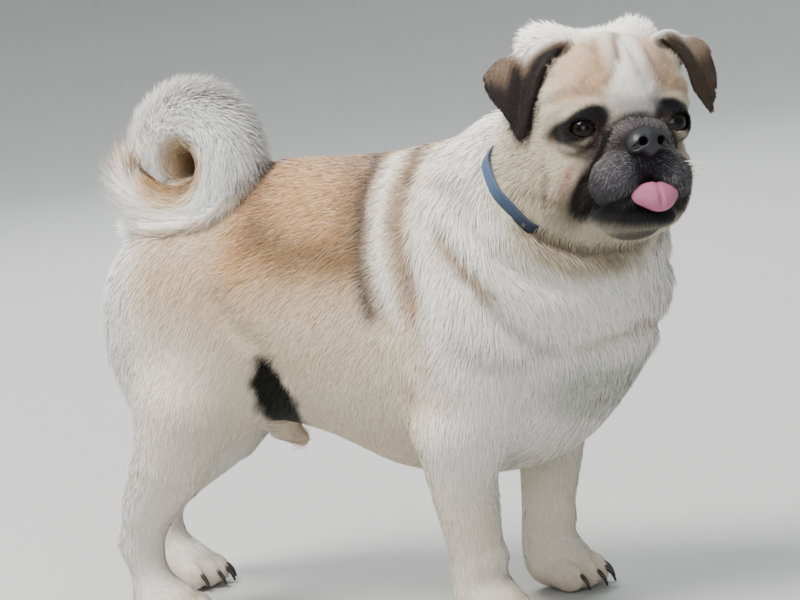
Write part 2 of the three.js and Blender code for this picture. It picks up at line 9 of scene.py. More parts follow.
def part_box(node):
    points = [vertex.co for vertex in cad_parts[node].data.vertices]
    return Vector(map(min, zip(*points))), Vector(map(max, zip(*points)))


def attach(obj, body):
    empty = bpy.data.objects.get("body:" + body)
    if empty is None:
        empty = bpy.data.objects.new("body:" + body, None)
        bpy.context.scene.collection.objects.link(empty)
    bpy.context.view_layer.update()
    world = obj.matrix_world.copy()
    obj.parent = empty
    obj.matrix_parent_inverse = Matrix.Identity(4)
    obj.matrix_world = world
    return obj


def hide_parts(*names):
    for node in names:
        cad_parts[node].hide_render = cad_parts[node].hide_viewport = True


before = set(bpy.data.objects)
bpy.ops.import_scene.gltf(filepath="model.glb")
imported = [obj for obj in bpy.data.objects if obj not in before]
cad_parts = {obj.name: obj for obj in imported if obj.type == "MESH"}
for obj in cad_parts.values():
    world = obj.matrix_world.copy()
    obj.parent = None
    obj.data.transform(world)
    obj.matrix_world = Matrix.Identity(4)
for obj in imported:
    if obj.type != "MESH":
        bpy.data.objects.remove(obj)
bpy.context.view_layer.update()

# Where the pug stands. The body is laid out in millimetres, X forward, Y to its left, Z up. The box
# of the right eye in the frame says how far that layout is moved on the floor.
MM = 0.001
HEAD_AT = np.array([225.3, -13.1, 312.0])
EYE_AT = np.array([37.5, 28.7, 0.0])
EYE_RADIUS = 11.5


def turned(yaw, pitch, roll):
    """Columns are forward, left and up, after a yaw to the left, a pitch up and a roll to the left."""
    y, p, r = math.radians(yaw), math.radians(pitch), math.radians(roll)
    about_z = np.array([[math.cos(y), -math.sin(y), 0], [math.sin(y), math.cos(y), 0], [0, 0, 1]])
    about_y = np.array([[math.cos(p), 0, -math.sin(p)], [0, 1, 0], [math.sin(p), 0, math.cos(p)]])
    about_x = np.array([[1, 0, 0], [0, math.cos(r), math.sin(r)], [0, -math.sin(r), math.cos(r)]])
    return about_z @ about_y @ about_x


HEAD_TURN = turned(-41, 5, 4.5)


def from_head(points):
    """Places given in the head's own frame, in the body's frame."""
    return HEAD_AT + np.asarray(points, float) @ HEAD_TURN.T


low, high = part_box("eye_right")
frame_eye = np.array((low + high) / 2) / MM
ON_FLOOR = frame_eye - from_head([EYE_AT * np.array([1, -1, 1])])[0]
ON_FLOOR[2] = 0.0


def to_scene(points):
    """Body millimetres to scene metres."""
    return (np.asarray(points, float) + ON_FLOOR) * MM


# The camera stands to the right and ahead of the pug, a little above its back,
# and is rolled as the picture is.
CAMERA_AZIMUTH = math.radians(30.0)
CAMERA_HEIGHT_ANGLE = math.radians(8.0)
CAMERA_ROLL = math.radians(7.0)
CAMERA_DISTANCE = 2300.0
CAMERA_REACH = 3420.0
PICTURE = (800, 600)
FLOOR_POINT = (362.0, 606.0)

back = np.array([
    math.sin(CAMERA_AZIMUTH) * math.cos(CAMERA_HEIGHT_ANGLE),
    -math.cos(CAMERA_AZIMUTH) * math.cos(CAMERA_HEIGHT_ANGLE),
    math.sin(CAMERA_HEIGHT_ANGLE),
])
level_right = np.array([math.cos(CAMERA_AZIMUTH), math.sin(CAMERA_AZIMUTH), 0.0])
level_up = np.cross(back, level_right)
picture_right = math.cos(CAMERA_ROLL) * level_right - math.sin(CAMERA_ROLL) * level_up
picture_up = math.sin(CAMERA_ROLL) * level_right + math.cos(CAMERA_ROLL) * level_up
aside = (FLOOR_POINT[0] - PICTURE[0] / 2) / CAMERA_REACH
above = (PICTURE[1] / 2 - FLOOR_POINT[1]) / CAMERA_REACH
camera_at = CAMERA_DISTANCE * (back - aside * picture_right - above * picture_up)

camera_data = bpy.data.cameras.new("camera")
camera_data.sensor_width = 36.0
camera_data.lens = 36.0 * CAMERA_REACH / PICTURE[0]
camera = bpy.data.objects.new("camera", camera_data)
place = Matrix.Identity(4)
for row in range(3):
    place[row][0] = picture_right[row]
    place[row][1] = picture_up[row]
    place[row][2] = back[row]
    place[row][3] = to_scene([camera_at])[0][row]
camera.matrix_world = place
bpy.context.scene.collection.objects.link(camera)
bpy.context.scene.camera = camera

# Studio: a grey floor that runs up into a low wall all round, four broad lamps and a soft sky.
FLAT_RADIUS = 3.2
COVE_RADIUS = 1.4
WALL_TOP = 2.6
cove_sides = 72
cove_steps = 8
cove_profile = [(0.0, 0.0), (FLAT_RADIUS / 2, 0.0), (FLAT_RADIUS, 0.0)]
for step in range(1, cove_steps + 1):
    turn = math.pi / 2 * step / cove_steps
    out, up = math.sin(turn), 1 - math.cos(turn)
    cove_profile.append((FLAT_RADIUS + COVE_RADIUS * out, COVE_RADIUS * up))
cove_profile.append((FLAT_RADIUS + COVE_RADIUS, WALL_TOP))
cove_points = [(0.0, 0.0, 0.0)]
cove_faces = []
for reach, height in cove_profile[1:]:
    for step in range(cove_sides):
        turn = 2 * math.pi * step / cove_sides
        cove_points.append((reach * math.cos(turn), reach * math.sin(turn), height))
for ring in range(len(cove_profile) - 1):
    for step in range(cove_sides):
        after = (step + 1) % cove_sides
        outer = 1 + ring * cove_sides
        if ring == 0:
            cove_faces.append((0, outer + step, outer + after))
        else:
            inner = outer - cove_sides
            cove_faces.append((inner + step, outer + step, outer + after, inner + after))
floor_mesh = bpy.data.meshes.new("floor")
floor_mesh.from_pydata(cove_points, [], cove_faces)
floor_mesh.shade_smooth()
floor = bpy.data.objects.new("floor", floor_mesh)
bpy.context.scene.collection.objects.link(floor)
floor_paint = bpy.data.materials.new("floor paint")
floor_paint.use_nodes = True
paint = floor_paint.node_tree.nodes["Principled BSDF"]
paint.inputs["Base Color"].default_value = (0.37, 0.38, 0.37, 1)
paint.inputs["Roughness"].default_value = 0.9
floor_mesh.materials.append(floor_paint)


AIM = Vector((0, 0, 0.2))


def lamp(name, place, size, power, tint):
    """A square soft light that faces the pug."""
    data = bpy.data.lights.new(name, "AREA")
    data.size = size
    data.energy = power
    data.color = tint
    light = bpy.data.objects.new(name, data)
    light.location = place
    light.rotation_euler = (AIM - Vector(place)).to_track_quat("-Z", "Y").to_euler()
    bpy.context.scene.collection.objects.link(light)


lamp("key light", (-0.35, -1.25, 2.75), 1.4, 180, (1.0, 0.98, 0.94))
lamp("side light", (1.5, -2.2, 1.1), 1.4, 24, (0.95, 0.98, 1.0))
lamp("rear light", (-2.3, -0.9, 1.3), 1.4, 26, (1.0, 1.0, 1.0))
lamp("back light", (-1.4, 1.8, 2.2), 1.8, 125, (1.0, 1.0, 1.0))
sky = bpy.data.worlds.new("sky")
sky.use_nodes = True
sky.node_tree.nodes["Background"].inputs["Color"].default_value = (0.86, 0.93, 1.0, 1)
sky.node_tree.nodes["Background"].inputs["Strength"].default_value = 0.55
bpy.context.scene.world = sky


# Skin: one closed hide over trunk, legs, tail, head and ears, a coat's depth inside the outline.
# It is the blend of rounded masses, whose surface is laid on a grid and then settled to the exact form.
def soft_min(first, second, width):
    """Two shapes as one, with a fillet of the given width between them."""
    mix = np.clip(0.5 + 0.5 * (second - first) / width, 0, 1)
    return second + (first - second) * mix - width * mix * (1 - mix)


def egg(points, centre, radii, turn=None):
    """Distance to an egg, negative inside."""
    off = points - np.asarray(centre, float)
    if turn is not None:
        off = off @ turn
    radii = np.asarray(radii, float)
    near = np.sqrt(((off / radii) ** 2).sum(-1))
    steep = np.sqrt(((off / radii**2) ** 2).sum(-1))
    return near * (near - 1) / np.maximum(steep, 1e-9)


def limb(points, joints, radii):
    """Distance to a chain of tapered lengths."""
    joints = np.asarray(joints, float)
    found = np.full(len(points), 1e9)
    for start, end, thick, thin in zip(joints[:-1], joints[1:], radii[:-1], radii[1:]):
        along = end - start
        share = np.clip((points - start) @ along / max(along @ along, 1e-9), 0, 1)
        off = points - start - share[:, None] * along
        found = np.minimum(found, np.sqrt((off**2).sum(-1)) - thick - (thin - thick) * share)
    return found


def from_line(points, line):
    """Distance to a line with no thickness."""
    return limb(points, line, np.zeros(len(line)))


def through(places, count):
    """A smooth line through the places."""
    places = np.asarray(places, float)
    held = np.vstack([2 * places[0] - places[1], places, 2 * places[-1] - places[-2]])
    at = np.linspace(0, len(places) - 1, count)
    first = np.minimum(at.astype(int), len(places) - 2)
    part = (at - first)[:, None]
    a, b, c, d = held[first], held[first + 1], held[first + 2], held[first + 3]
    square = 2 * a - 5 * b + 4 * c - d
    cube = 3 * b - a - 3 * c + d
    return 0.5 * (2 * b + (c - a) * part + square * part**2 + cube * part**3)


def tube(points, places, radii, count=20):
    """Distance to a smooth tube through the places."""
    line = through(np.column_stack([np.asarray(places, float), radii]), count)
    return limb(points, line[:, :3], line[:, 3])


def only_near(points, centre, reach, shape):
    """A shape that is worked out only close to where it is."""
    far = np.sqrt(((points - np.asarray(centre, float)) ** 2).sum(-1))
    found = far - reach + 40.0
    near = far < reach
    if near.any():
        found[near] = shape(points[near])
    return found


# How deep the coat lies over each part of the skin.
COAT_BACK = 4.5
COAT_CHEST = 6.5
COAT_LEG = 2.4
COAT_PAW = 1.2
COAT_TAIL = 6.5
COAT_SKULL = 2.2
COAT_CHEEK = 2.2
COAT_MUZZLE = 0.8

# Ribcage, loin, rump, forechest and brisket: middle, half sizes and depth of coat.
TRUNK_MASSES = [
    ((88, 0, 200), (112, 86, 110), COAT_BACK),
    ((-4, 0, 216), (108, 75, 93), COAT_BACK),
    ((-80, 0, 220), (64, 66, 84), COAT_BACK),
    ((168, 8, 218), (78, 93, 88), COAT_CHEST),
    ((136, 4, 170), (74, 74, 76), COAT_CHEST),
]
TRUNK_BLEND = 30


def trunk(points):
    """The body with the sheath under its belly."""
    masses = [egg(points, centre, radii) + depth for centre, radii, depth in TRUNK_MASSES]
    body = masses[0]
    for mass in masses[1:]:
        body = soft_min(body, mass, TRUNK_BLEND)
    sheath = limb(points, [(-58, 0, 146), (-42, 0, 124), (-30, 0, 116)], [14, 12, 8]) + 3
    return soft_min(body, sheath, 10)


# How each side stands off the square: foreleg back, its foot inward, its elbow out, hind leg back
# and its foot inward. The right side is -1 and the left side 1.
STANCE = {-1: (0.0, 0.0, 0.0, 0.0, 0.0), 1: (-8.0, -6.0, 7.0, -55.0, -8.0)}


def paws(side):
    """A side's fore and hind paw: place on the floor, half length and half width."""
    back, inward, _, hind_back, hind_inward = STANCE[side]
    fore = (133 + back, side * (60 + inward), 24, 21)
    return fore, (-116 + hind_back, side * (58 + hind_inward), 23, 19.5)


def toe_places(paw):
    """The middle of each of a paw's four toes, and its splay from -1 to 1."""
    x, y, long, wide = paw
    for number in range(4):
        splay = (number - 1.5) / 1.5
        yield np.array([x + long * (0.78 - 0.3 * splay**2), y + wide * 0.72 * splay, 11]), splay


def toes(points, paw):
    """Four toes side by side, with a pad under each."""
    found = np.full(len(points), 60.0)
    for number, (middle, splay) in enumerate(toe_places(paw)):
        toe = egg(points, middle, (15, 7, 11.5), turned(12 * splay, -8, 0)) + COAT_PAW
        found = np.where(number == 0, toe, soft_min(found, toe, 1.6))
    return found


def foreleg(points, side):
    """Shoulder, leg and wrist down to the paw."""
    back, inward, out, _, _ = STANCE[side]
    paw = paws(side)[0]
    foot_y = paw[1]
    leg = egg(points, (134, side * 62, 172), (44, 32, 66)) + COAT_BACK
    column = limb(
        points,
        [(126 + 0.4 * back, side * (70 + out), 132), (126 + 0.6 * back, side * (67 + out), 110),
         (127 + 0.9 * back, side * (62 + inward), 56), (126 + back, foot_y, 34)],
        [27, 25, 19.5, 19.5],
    )
    leg = soft_min(leg, column + COAT_LEG, 16)
    wrist = egg(points, (131 + back, foot_y, 50), (17, 17, 14)) + COAT_LEG
    leg = soft_min(leg, wrist, 6)
    leg = soft_min(leg, egg(points, (paw[0], foot_y, 17), (24, 21, 18)) + COAT_PAW, 12)
    return soft_min(leg, toes(points, paw), 3)


def hindleg(points, side):
    """Thigh, shank and pastern down to the paw."""
    _, _, _, back, inward = STANCE[side]
    paw = paws(side)[1]
    foot_y = paw[1]
    y = side * (60 + inward)
    leg = egg(points, (-84, side * 44, 192), (60, 36, 74), turned(0, 10, 0)) + COAT_BACK
    shank = limb(
        points,
        [(-80 + 0.3 * back, side * 58, 150), (-94 + 0.5 * back, y, 118), (-118 + 0.8 * back, y, 86),
         (-130 + back, foot_y, 60)],
        [36, 30, 22, 15.5],
    )
    leg = soft_min(leg, shank + COAT_LEG + 1, 20)
    pastern = limb(points, [(-132 + back, foot_y, 60), (-125 + back, foot_y, 26)], [14.5, 15]) + COAT_LEG
    leg = soft_min(leg, pastern, 10)
    leg = soft_min(leg, egg(points, (paw[0], foot_y, 16), (23, 19.5, 17)) + COAT_PAW, 12)
    return soft_min(leg, toes(points, paw), 3)


TAIL_CENTRE = np.array([-77.0, -10.0, 306.0])


def tail_line(share):
    """The curl's middle line, a little more than one turn, and its outline's radius."""
    share = np.asarray(share, float)
    turn = np.radians(242 - 412 * share)
    ring = 28 + 2 * np.cos(turn)
    middle = TAIL_CENTRE + np.stack([ring * np.cos(turn), 18 - 56 * share, ring * np.sin(turn)], -1)
    swell = 3 * np.sin(np.pi * np.minimum(1, 1.3 * share))
    return middle, 23.5 + swell - 12 * np.clip((share - 0.8) / 0.2, 0, 9) ** 2


def tail(points):
    """Distance to the tail."""
    middle, radius = tail_line(np.linspace(0, 1, 36))
    return limb(points, middle, radius - COAT_TAIL)


def eye_place(side):
    """Centre of the eyeball and the turn of its look, a little out to the side."""
    return EYE_AT * np.array([1, side, 1]), turned(18 * side, 0, 0)


# The muzzle is carried a little to the left of the skull's middle line.
MUZZLE_SET = np.array([1.0, 2.5, 0.0])


def head_form(local):
    """The head without its furrows: skull, brows, cheeks, throat, and the short muzzle set into them."""
    form = egg(local, (-4, 0, 12), (58, 51, 50)) + COAT_SKULL
    form = soft_min(form, egg(local, (24, 0, 34), (26, 36, 24)) + COAT_SKULL, 12)
    for side in (-1, 1):
        for centre, radii, depth, blend in (
            ((-8, side * 27, 46), (28, 20, 19), COAT_SKULL, 12),
            ((6, side * 26, -32), (36, 28, 34), COAT_CHEEK, 14),
            ((22, side * 29, 16), (23, 22, 22), COAT_CHEEK, 10),
            ((6, side * 38, 41 if side < 0 else 37), (21, 13, 14), COAT_SKULL, 8),
        ):
            form = soft_min(form, egg(local, centre, radii) + depth, blend)
    form = soft_min(form, egg(local, (-8, 0, -40), (50, 44, 34)) + 5, 20)
    snout = local - MUZZLE_SET
    muzzle = egg(snout, (37, 0, -22), (24, 23, 25)) + COAT_MUZZLE
    muzzle = soft_min(muzzle, egg(snout, (38, -4, -55), (19, 22.5, 15)) + COAT_MUZZLE, 8)
    roll = [(42, -22, -24), (46, -18.5, -11), (50.5, -9.5, -4.5), (51.5, 0, -3), (50.5, 9.5, -4.5),
            (46, 18.5, -11), (42, 22, -24)]
    muzzle = soft_min(muzzle, tube(snout, roll, [9, 8.5, 8, 7.5, 8, 8.5, 9]) + COAT_MUZZLE, 5)
    for side in (-1, 1):
        flew = egg(snout, (47, side * 16, -32.5), (20.5, 17.2, 18.5)) + COAT_MUZZLE
        muzzle = soft_min(muzzle, flew, 4)
    lower_lip = [(28, -28, -51), (42, -24.5, -56), (53, -13.5, -57), (57, -1, -57), (53.5, 10, -57),
                 (43, 18.5, -56), (30, 24, -51)]
    muzzle = soft_min(muzzle, tube(snout, lower_lip, [3, 5, 6, 6.5, 6, 5, 3]) + COAT_MUZZLE, 5)
    form = soft_min(form, muzzle, 2.2)
    for side in (-1, 1):
        centre, _ = eye_place(side)
        form = soft_min(form, egg(local, centre, [EYE_RADIUS + 2.2] * 3), 3.5)
    return form


def slope(shape, points, reach=0.3):
    """Which way the distance grows."""
    found = np.zeros_like(points)
    for axis in range(3):
        step = np.zeros(3)
        step[axis] = reach
        found[:, axis] = (shape(points + step) - shape(points - step)) / (2 * reach)
    return found


def settle(shape, points, rounds, longest=2.0):
    """Moves points on to a shape's surface."""
    for _ in range(rounds):
        rise = slope(shape, points)
        steep = np.maximum((rise**2).sum(1), 0.05)
        step = (shape(points) / steep)[:, None] * rise
        size = np.sqrt((step**2).sum(1, keepdims=True))
        points = points - step * np.minimum(1, longest / np.maximum(size, 1e-9))
    return points


# Furrows of the face as lines on the left side, with width and depth. The first two lie on the muzzle.
FURROWS = {
    "lips": ([(64, 0, -36), (65, 7, -39.5), (63, 14, -43.5), (59, 21, -47.5), (50, 28, -51),
              (41, 32, -51.5), (32, 34, -51)], 1.7, 3.6),
    "muzzle fold": ([(51, 20, -4), (47, 22.5, -15), (45, 25.5, -20), (42, 29.5, -26), (38, 33, -32),
                     (33, 35, -39), (28, 34.5, -48)], 3.0, 3.0),
    "crown fold": ([(36, 3, 53), (44, 5, 43), (47, 7, 33), (48, 12, 24)], 3.0, 2.0),
    "outer crown fold": ([(32, 15, 51), (41, 17, 43), (45, 19, 33), (43, 27, 24)], 3.2, 1.8),
    "brow fold": ([(24, 42, 15), (35, 40, 19), (42, 33, 21), (47, 22, 19), (49, 15, 14)], 2.8, 2.1),
    "eye pouch": ([(45, 22, -12), (42, 29, -16), (34, 38, -15), (25, 45, -7)], 2.4, 2.0),
    "cheek fold": ([(26, 43, -4), (21, 46, -11), (21, 48, -20), (23, 47, -30), (18, 47, -44)], 2.8, 2.3),
}
PARTING = [(73, 0, -18), (70, 0, -26), (67, 0, -36)]
furrows = {}
for name, (line, width, depth) in FURROWS.items():
    for side in (-1, 1):
        moved = MUZZLE_SET if name in ("lips", "muzzle fold") else 0
        places = through(np.array(line, float) * (1, side, 1), 14) + moved
        furrows[name, side] = settle(head_form, places, 4), width, depth
furrows["parting", 0] = settle(head_form, through(PARTING, 8) + MUZZLE_SET, 4), 1.6, 2.0


def furrowed(points, lines):
    """How deep the furrows are at each point."""
    found = np.zeros(len(points))
    for line, width, depth in lines:
        near = ((points > line.min(0) - 3 * width) & (points < line.max(0) + 3 * width)).all(1)
        if near.any():
            off = from_line(points[near], line)
            found[near] = np.maximum(found[near], depth * np.exp(-((off / width) ** 2)))
    return found


# The opening of the lids: half its width, and half its height.
LIDS_WIDE = 8.0
LIDS_TALL = 5.6


def head_skin(local):
    """The head with its furrows, and a socket for each eye behind the opening of its lids."""
    form = head_form(local)
    close = form < 6
    form[close] += furrowed(local[close], furrows.values())
    for side in (-1, 1):
        centre, turn = eye_place(side)
        from_eye = (local - centre) @ turn
        away = np.sqrt((from_eye**2).sum(1))
        outward = from_eye[:, 1] * side
        height = from_eye[:, 2] - 0.08 * outward
        opening = (np.sqrt((outward / LIDS_WIDE) ** 2 + (height / LIDS_TALL) ** 2) - 1) * LIDS_TALL
        opening = np.maximum(opening, -from_eye[:, 0])
        form = np.maximum(form, -opening)
        form = np.maximum(form, np.minimum(EYE_RADIUS + 0.2 - away, from_eye[:, 0]))
    return form


# Ears: thin sheets that rise from the skull, fold over and hang as flaps, open behind as cups.
# The right one lies close to the cheek, the left one is held out. Each has its fold and its hem.
EARS = {
    -1: ([(26, 31, 54), (-3, 51, 54), (-27, 63, 37)],
         [(20.5, 52.5, 22), (11, 58, 0.5), (2.5, 61.5, 10.5), (-8, 63.5, 21), (-26, 64, 31)]),
    1: ([(23, 36, 54), (0, 61, 60), (-12, 78.5, 42)],
        [(14.5, 59, 21), (9.5, 71, 8), (5, 76, 15.5), (1, 75.5, 28), (-9, 78.5, 38)]),
}
# Stations across and along an ear's sheet, and how far from its middle an ear is looked for.
EAR_ACROSS = 28
EAR_ALONG = 36
EAR_REACH = 46


def ear_sheet(side):
    """Middle of the ear's leather, from front to rear and from root to hem, in the head's frame."""
    (first, pull, last), hem_places = EARS[side]
    rear = np.linspace(0, 1, EAR_ACROSS)[:, None]
    fold = (1 - rear) ** 2 * np.array(first) + 2 * rear * (1 - rear) * np.array(pull)
    fold += rear**2 * np.array(last)
    hem = through(hem_places, EAR_ACROSS)
    root = np.hstack([24 - 52 * rear, 26 + 16 * rear, 44 - 19 * rear + 8 * rear * (1 - rear)])
    rise = 0.45 * root + 0.55 * fold + np.array([0, -2, 3])
    fall = 0.5 * (fold + hem) + np.hstack([0 * rear, 4 * (1 - rear), 1 + 0 * rear])
    rows = [through(np.array(stations), EAR_ALONG) for stations in zip(root, rise, fold, fall, hem)]
    sheet = np.array(rows)
    sheet[:, :, 1] *= side
    across = np.gradient(sheet, axis=0)
    along = np.gradient(sheet, axis=1)
    outward = np.cross(across, along) * -side
    outward /= np.sqrt((outward**2).sum(-1, keepdims=True))
    down = np.linspace(0, 1, EAR_ALONG)[None, :]
    hanging = np.clip((down - 0.3) / 0.3, 0, 1)
    valley = 4.0 * np.exp(-(((rear - 0.5 + 0.1 * down) / 0.1) ** 2))
    lobe = 3.0 * np.exp(-(((rear - 0.78) / 0.16) ** 2))
    return sheet + outward * ((lobe - valley) * hanging)[..., None]


ear_tree = {}
for side in (-1, 1):
    corners = [tuple(place) for place in ear_sheet(side).reshape(-1, 3)]
    quads = [
        (i * EAR_ALONG + j, i * EAR_ALONG + j + 1, (i + 1) * EAR_ALONG + j + 1, (i + 1) * EAR_ALONG + j)
        for i in range(EAR_ACROSS - 1)
        for j in range(EAR_ALONG - 1)
    ]
    ear_tree[side] = BVHTree.FromPolygons(corners, quads)


def off_ear(local, side):
    """How far places are from the middle of a box round an ear, along its longest side."""
    return np.abs(local - np.array([0, side * 57, 32])).max(1)


def ear(local, side):
    """Distance to one ear: its leather is 3 mm thick at the root and thins to the hem."""
    found = np.empty(len(local))
    for number, place in enumerate(local.tolist()):
        _, _, quad, off = ear_tree[side].find_nearest(place)
        found[number] = off - 1.8 + 0.25 * (quad % (EAR_ALONG - 1)) / EAR_ALONG
    return found


# Folds of the loose hide on neck, chest and shoulder, as lines on the right side with width and depth.
FOLDS = {
    "shawl": ([(128, -76, 268), (139, -82, 253), (153, -87, 232), (167, -87, 215), (181, -82, 196),
               (195, -72, 184), (218, -53, 181), (235, -25, 184), (241, 4, 190)], 7, 4.2),
    "neck roll": ([(150, -76, 275), (161, -82, 261), (181, -84, 242), (203, -77, 228), (227, -57, 221),
                   (243, -25, 222)], 6, 2.2),
    "shoulder": ([(76, -30, 300), (80, -60, 282), (79, -77, 253), (87, -85, 222), (95, -87, 203)], 6, 3.0),
    "withers": ([(104, -34, 302), (102, -63, 281), (105, -77, 258), (113, -85, 234), (116, -88, 221)],
                5, 1.8),
    "flank": ([(-37, -74, 224), (-24, -74, 204), (-10, -73, 190), (-3, -70, 172)], 8, 3.0),
    "elbow": ([(161, -71, 121), (163, -80, 136), (172, -78, 146), (185, -62, 146)], 5, 3.2),
}


def bare_trunk(points):
    """Trunk and neck without their folds."""
    neck = limb(points, [(122, 0, 232), (176, -3, 266), (206, -12, 297)], [64, 64, 52])
    return soft_min(trunk(points), neck, TRUNK_BLEND)


fold_lines = []
for line, width, depth in FOLDS.values():
    for side in (1, -1):
        settled = settle(bare_trunk, through(np.array(line, float) * (1, side, 1), 12), 5, 12.0)
        fold_lines.append((settled, width, depth))


# The deep fold under the jowls, where the collar sinks into the throat.
THROAT_FOLD = through([(183, -70, 274), (192, -68.5, 261), (200, -66.5, 255), (213.5, -59, 246),
                       (225.5, -46, 240.5), (236.5, -26.5, 238.5), (244, -10, 237.5)], 14)


def flesh(points):
    """Distance to the whole hide."""
    body = bare_trunk(points)
    for side in (-1, 1):
        back, _, _, hind_back, _ = STANCE[side]
        middle = (132 + back / 2, side * 64, 110)
        body = soft_min(body, only_near(points, middle, 150, lambda near: foreleg(near, side)), 16)
        middle = (-105 + hind_back / 2, side * 54, 125)
        body = soft_min(body, only_near(points, middle, 165, lambda near: hindleg(near, side)), 30)
    close = np.abs(body) < 12
    body[close] += furrowed(points[close], fold_lines)
    body = soft_min(body, only_near(points, TAIL_CENTRE, 85, tail), 6)
    local = (points - HEAD_AT) @ HEAD_TURN
    head = only_near(local, (5, 0, -10), 105, head_skin)
    for side in (-1, 1):
        near = (off_ear(local, side) < EAR_REACH - 2) & (head < 40)
        if near.any():
            head[near] = soft_min(head[near], ear(local[near], side), 2.5)
    body = soft_min(body, head, 12)
    close = np.abs(body) < 12
    body[close] += furrowed(points[close], [(THROAT_FOLD, 5.5, 4.0)])
    return body


def spacing(stops):
    """Grid planes along one axis: each stop is a place and the step kept up to it."""
    planes = [stops[0][0]]
    for place, step in stops[1:]:
        count = max(1, round((place - planes[-1]) / step))
        planes += list(np.linspace(planes[-1], place, count + 1)[1:])
    return np.array(planes)


def laid_on_grid(shape, axes):
    """Corners and four-sided faces of a shape's surface, a corner in each grid cell it crosses.

    Blocks of cells that the surface can't reach keep the distance of their middle.
    """
    block = 8
    batch = 150000
    sizes = [len(axis) for axis in axes]
    starts = [np.arange(0, size - 1, block) for size in sizes]
    ends = [np.minimum(start + block, size - 1) for start, size in zip(starts, sizes)]
    middles = [(axis[s] + axis[e]) / 2 for axis, s, e in zip(axes, starts, ends)]
    halves = [(axis[e] - axis[s]) / 2 for axis, s, e in zip(axes, starts, ends)]
    centres = np.stack(np.meshgrid(*middles, indexing="ij"), -1)
    reach = np.sqrt((np.stack(np.meshgrid(*halves, indexing="ij"), -1) ** 2).sum(-1))
    coarse = shape(centres.reshape(-1, 3)).reshape(centres.shape[:3])
    wanted = np.zeros(sizes, bool)
    for cell in np.argwhere(np.abs(coarse) < 1.25 * reach + 5):
        wanted[tuple(slice(s[n], e[n] + 1) for s, e, n in zip(starts, ends, cell))] = True
    owner = [np.minimum(np.arange(size) // block, len(start) - 1) for size, start in zip(sizes, starts)]
    value = coarse[np.ix_(*owner)]
    where = np.argwhere(wanted)
    points = np.stack([axis[where[:, n]] for n, axis in enumerate(axes)], 1)
    batches = np.array_split(points, max(1, len(points) // batch))
    value[wanted] = np.concatenate([shape(part) for part in batches])
    inside = value < 0
    both = [slice(None, -1), slice(1, None)]
    count = sum(inside[a, b, c].astype(np.int8) for a in both for b in both for c in both)
    cells = np.argwhere((count > 0) & (count < 8))
    total = np.zeros((len(cells), 3))
    crossings = np.zeros(len(cells))
    for axis in range(3):
        for side in range(4):
            offset = np.insert([side & 1, side >> 1], axis, 0)
            start = cells + offset
            end = start.copy()
            end[:, axis] += 1
            low, high = value[tuple(start.T)], value[tuple(end.T)]
            cut = (low < 0) != (high < 0)
            share = np.where(cut, low / np.where(cut, low - high, 1), 0)
            for n in range(3):
                a, b = axes[n][start[:, n]], axes[n][end[:, n]]
                total[:, n] += np.where(cut, a + share * (b - a), 0)
            crossings += cut
    corners = total / crossings[:, None]
    number = np.full([size - 1 for size in sizes], -1, np.int32)
    number[tuple(cells.T)] = np.arange(len(cells))
    faces = []
    for axis in range(3):
        first, second = [n for n in range(3) if n != axis]
        near = [slice(None)] * 3
        far = [slice(None)] * 3
        near[axis], far[axis] = slice(None, -1), slice(1, None)
        cut = np.argwhere(inside[tuple(near)] != inside[tuple(far)])
        inner = (cut[:, first] > 0) & (cut[:, second] > 0)
        inner &= (cut[:, first] < sizes[first] - 1) & (cut[:, second] < sizes[second] - 1)
        cut = cut[inner]
        ring = []
        for a, b in ((-1, -1), (0, -1), (0, 0), (-1, 0)):
            cell = cut.copy()
            cell[:, first] += a
            cell[:, second] += b
            ring.append(number[tuple(cell.T)])
        quad = np.stack(ring, 1)
        leaving = inside[tuple(cut.T)]
        if axis == 1:
            leaving = ~leaving
        faces.append(np.where(leaving[:, None], quad, quad[:, ::-1]))
    return corners, np.concatenate(faces)


def piece(name, corners, faces, material=None):
    """A mesh object from body millimetres."""
    mesh = bpy.data.meshes.new(name)
    mesh.vertices.add(len(corners))
    mesh.vertices.foreach_set("co", to_scene(corners).astype(np.float32).ravel())
    sides = faces.shape[1]
    mesh.loops.add(faces.size)
    mesh.loops.foreach_set("vertex_index", faces.astype(np.int32).ravel())
    mesh.polygons.add(len(faces))
    mesh.polygons.foreach_set("loop_start", np.arange(len(faces), dtype=np.int32) * sides)
    mesh.update(calc_edges=True)
    mesh.validate()
    mesh.shade_smooth()
    made = bpy.data.objects.new(name, mesh)
    bpy.context.scene.collection.objects.link(made)
    if material:
        mesh.materials.append(material)
    return made


axes = [
    spacing([(-205, 0), (176, 3.3), (300, 1.4)]),
    spacing([(-108, 0), (-104, 3), (42, 1.4), (110, 3.3)]),
    spacing([(-4, 0), (26, 1.8), (236, 3.3), (384, 1.4)]),
]
corners, faces = laid_on_grid(flesh, axes)
corners = settle(flesh, corners, 2)
skin = piece("skin", corners, faces)
FLESH_NODES = [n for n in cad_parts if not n.startswith(("eye", "nose", "tongue", "collar"))]
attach(skin, "root")
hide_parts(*FLESH_NODES)


# Markings: cream over all, a fawn saddle with darker edges, a black mask and dark ears. Most are the
# colours the hair grew in; the rest are painted shade in folds, wrinkles and hollows, under the chest and
# jaw and beneath the brows, and painted light on the ears. Skin and coat take the same ones, kept at each
# corner of a mesh.
def shade(red, green, blue):
    """A colour as it looks on a screen, 0 to 255, in linear light."""
    return np.array([((c / 255 + 0.055) / 1.055) ** 2.4 for c in (red, green, blue)])


def ramp(value, start, end):
    """Zero before the start, one after the end and smooth between."""
    t = np.clip((value - start) / (end - start), 0, 1)
    return t * t * (3 - 2 * t)


def along_line(points, line, width):
    """One on a line, fading to nothing away from it."""
    return np.exp(-((from_line(points, line) / width) ** 2))


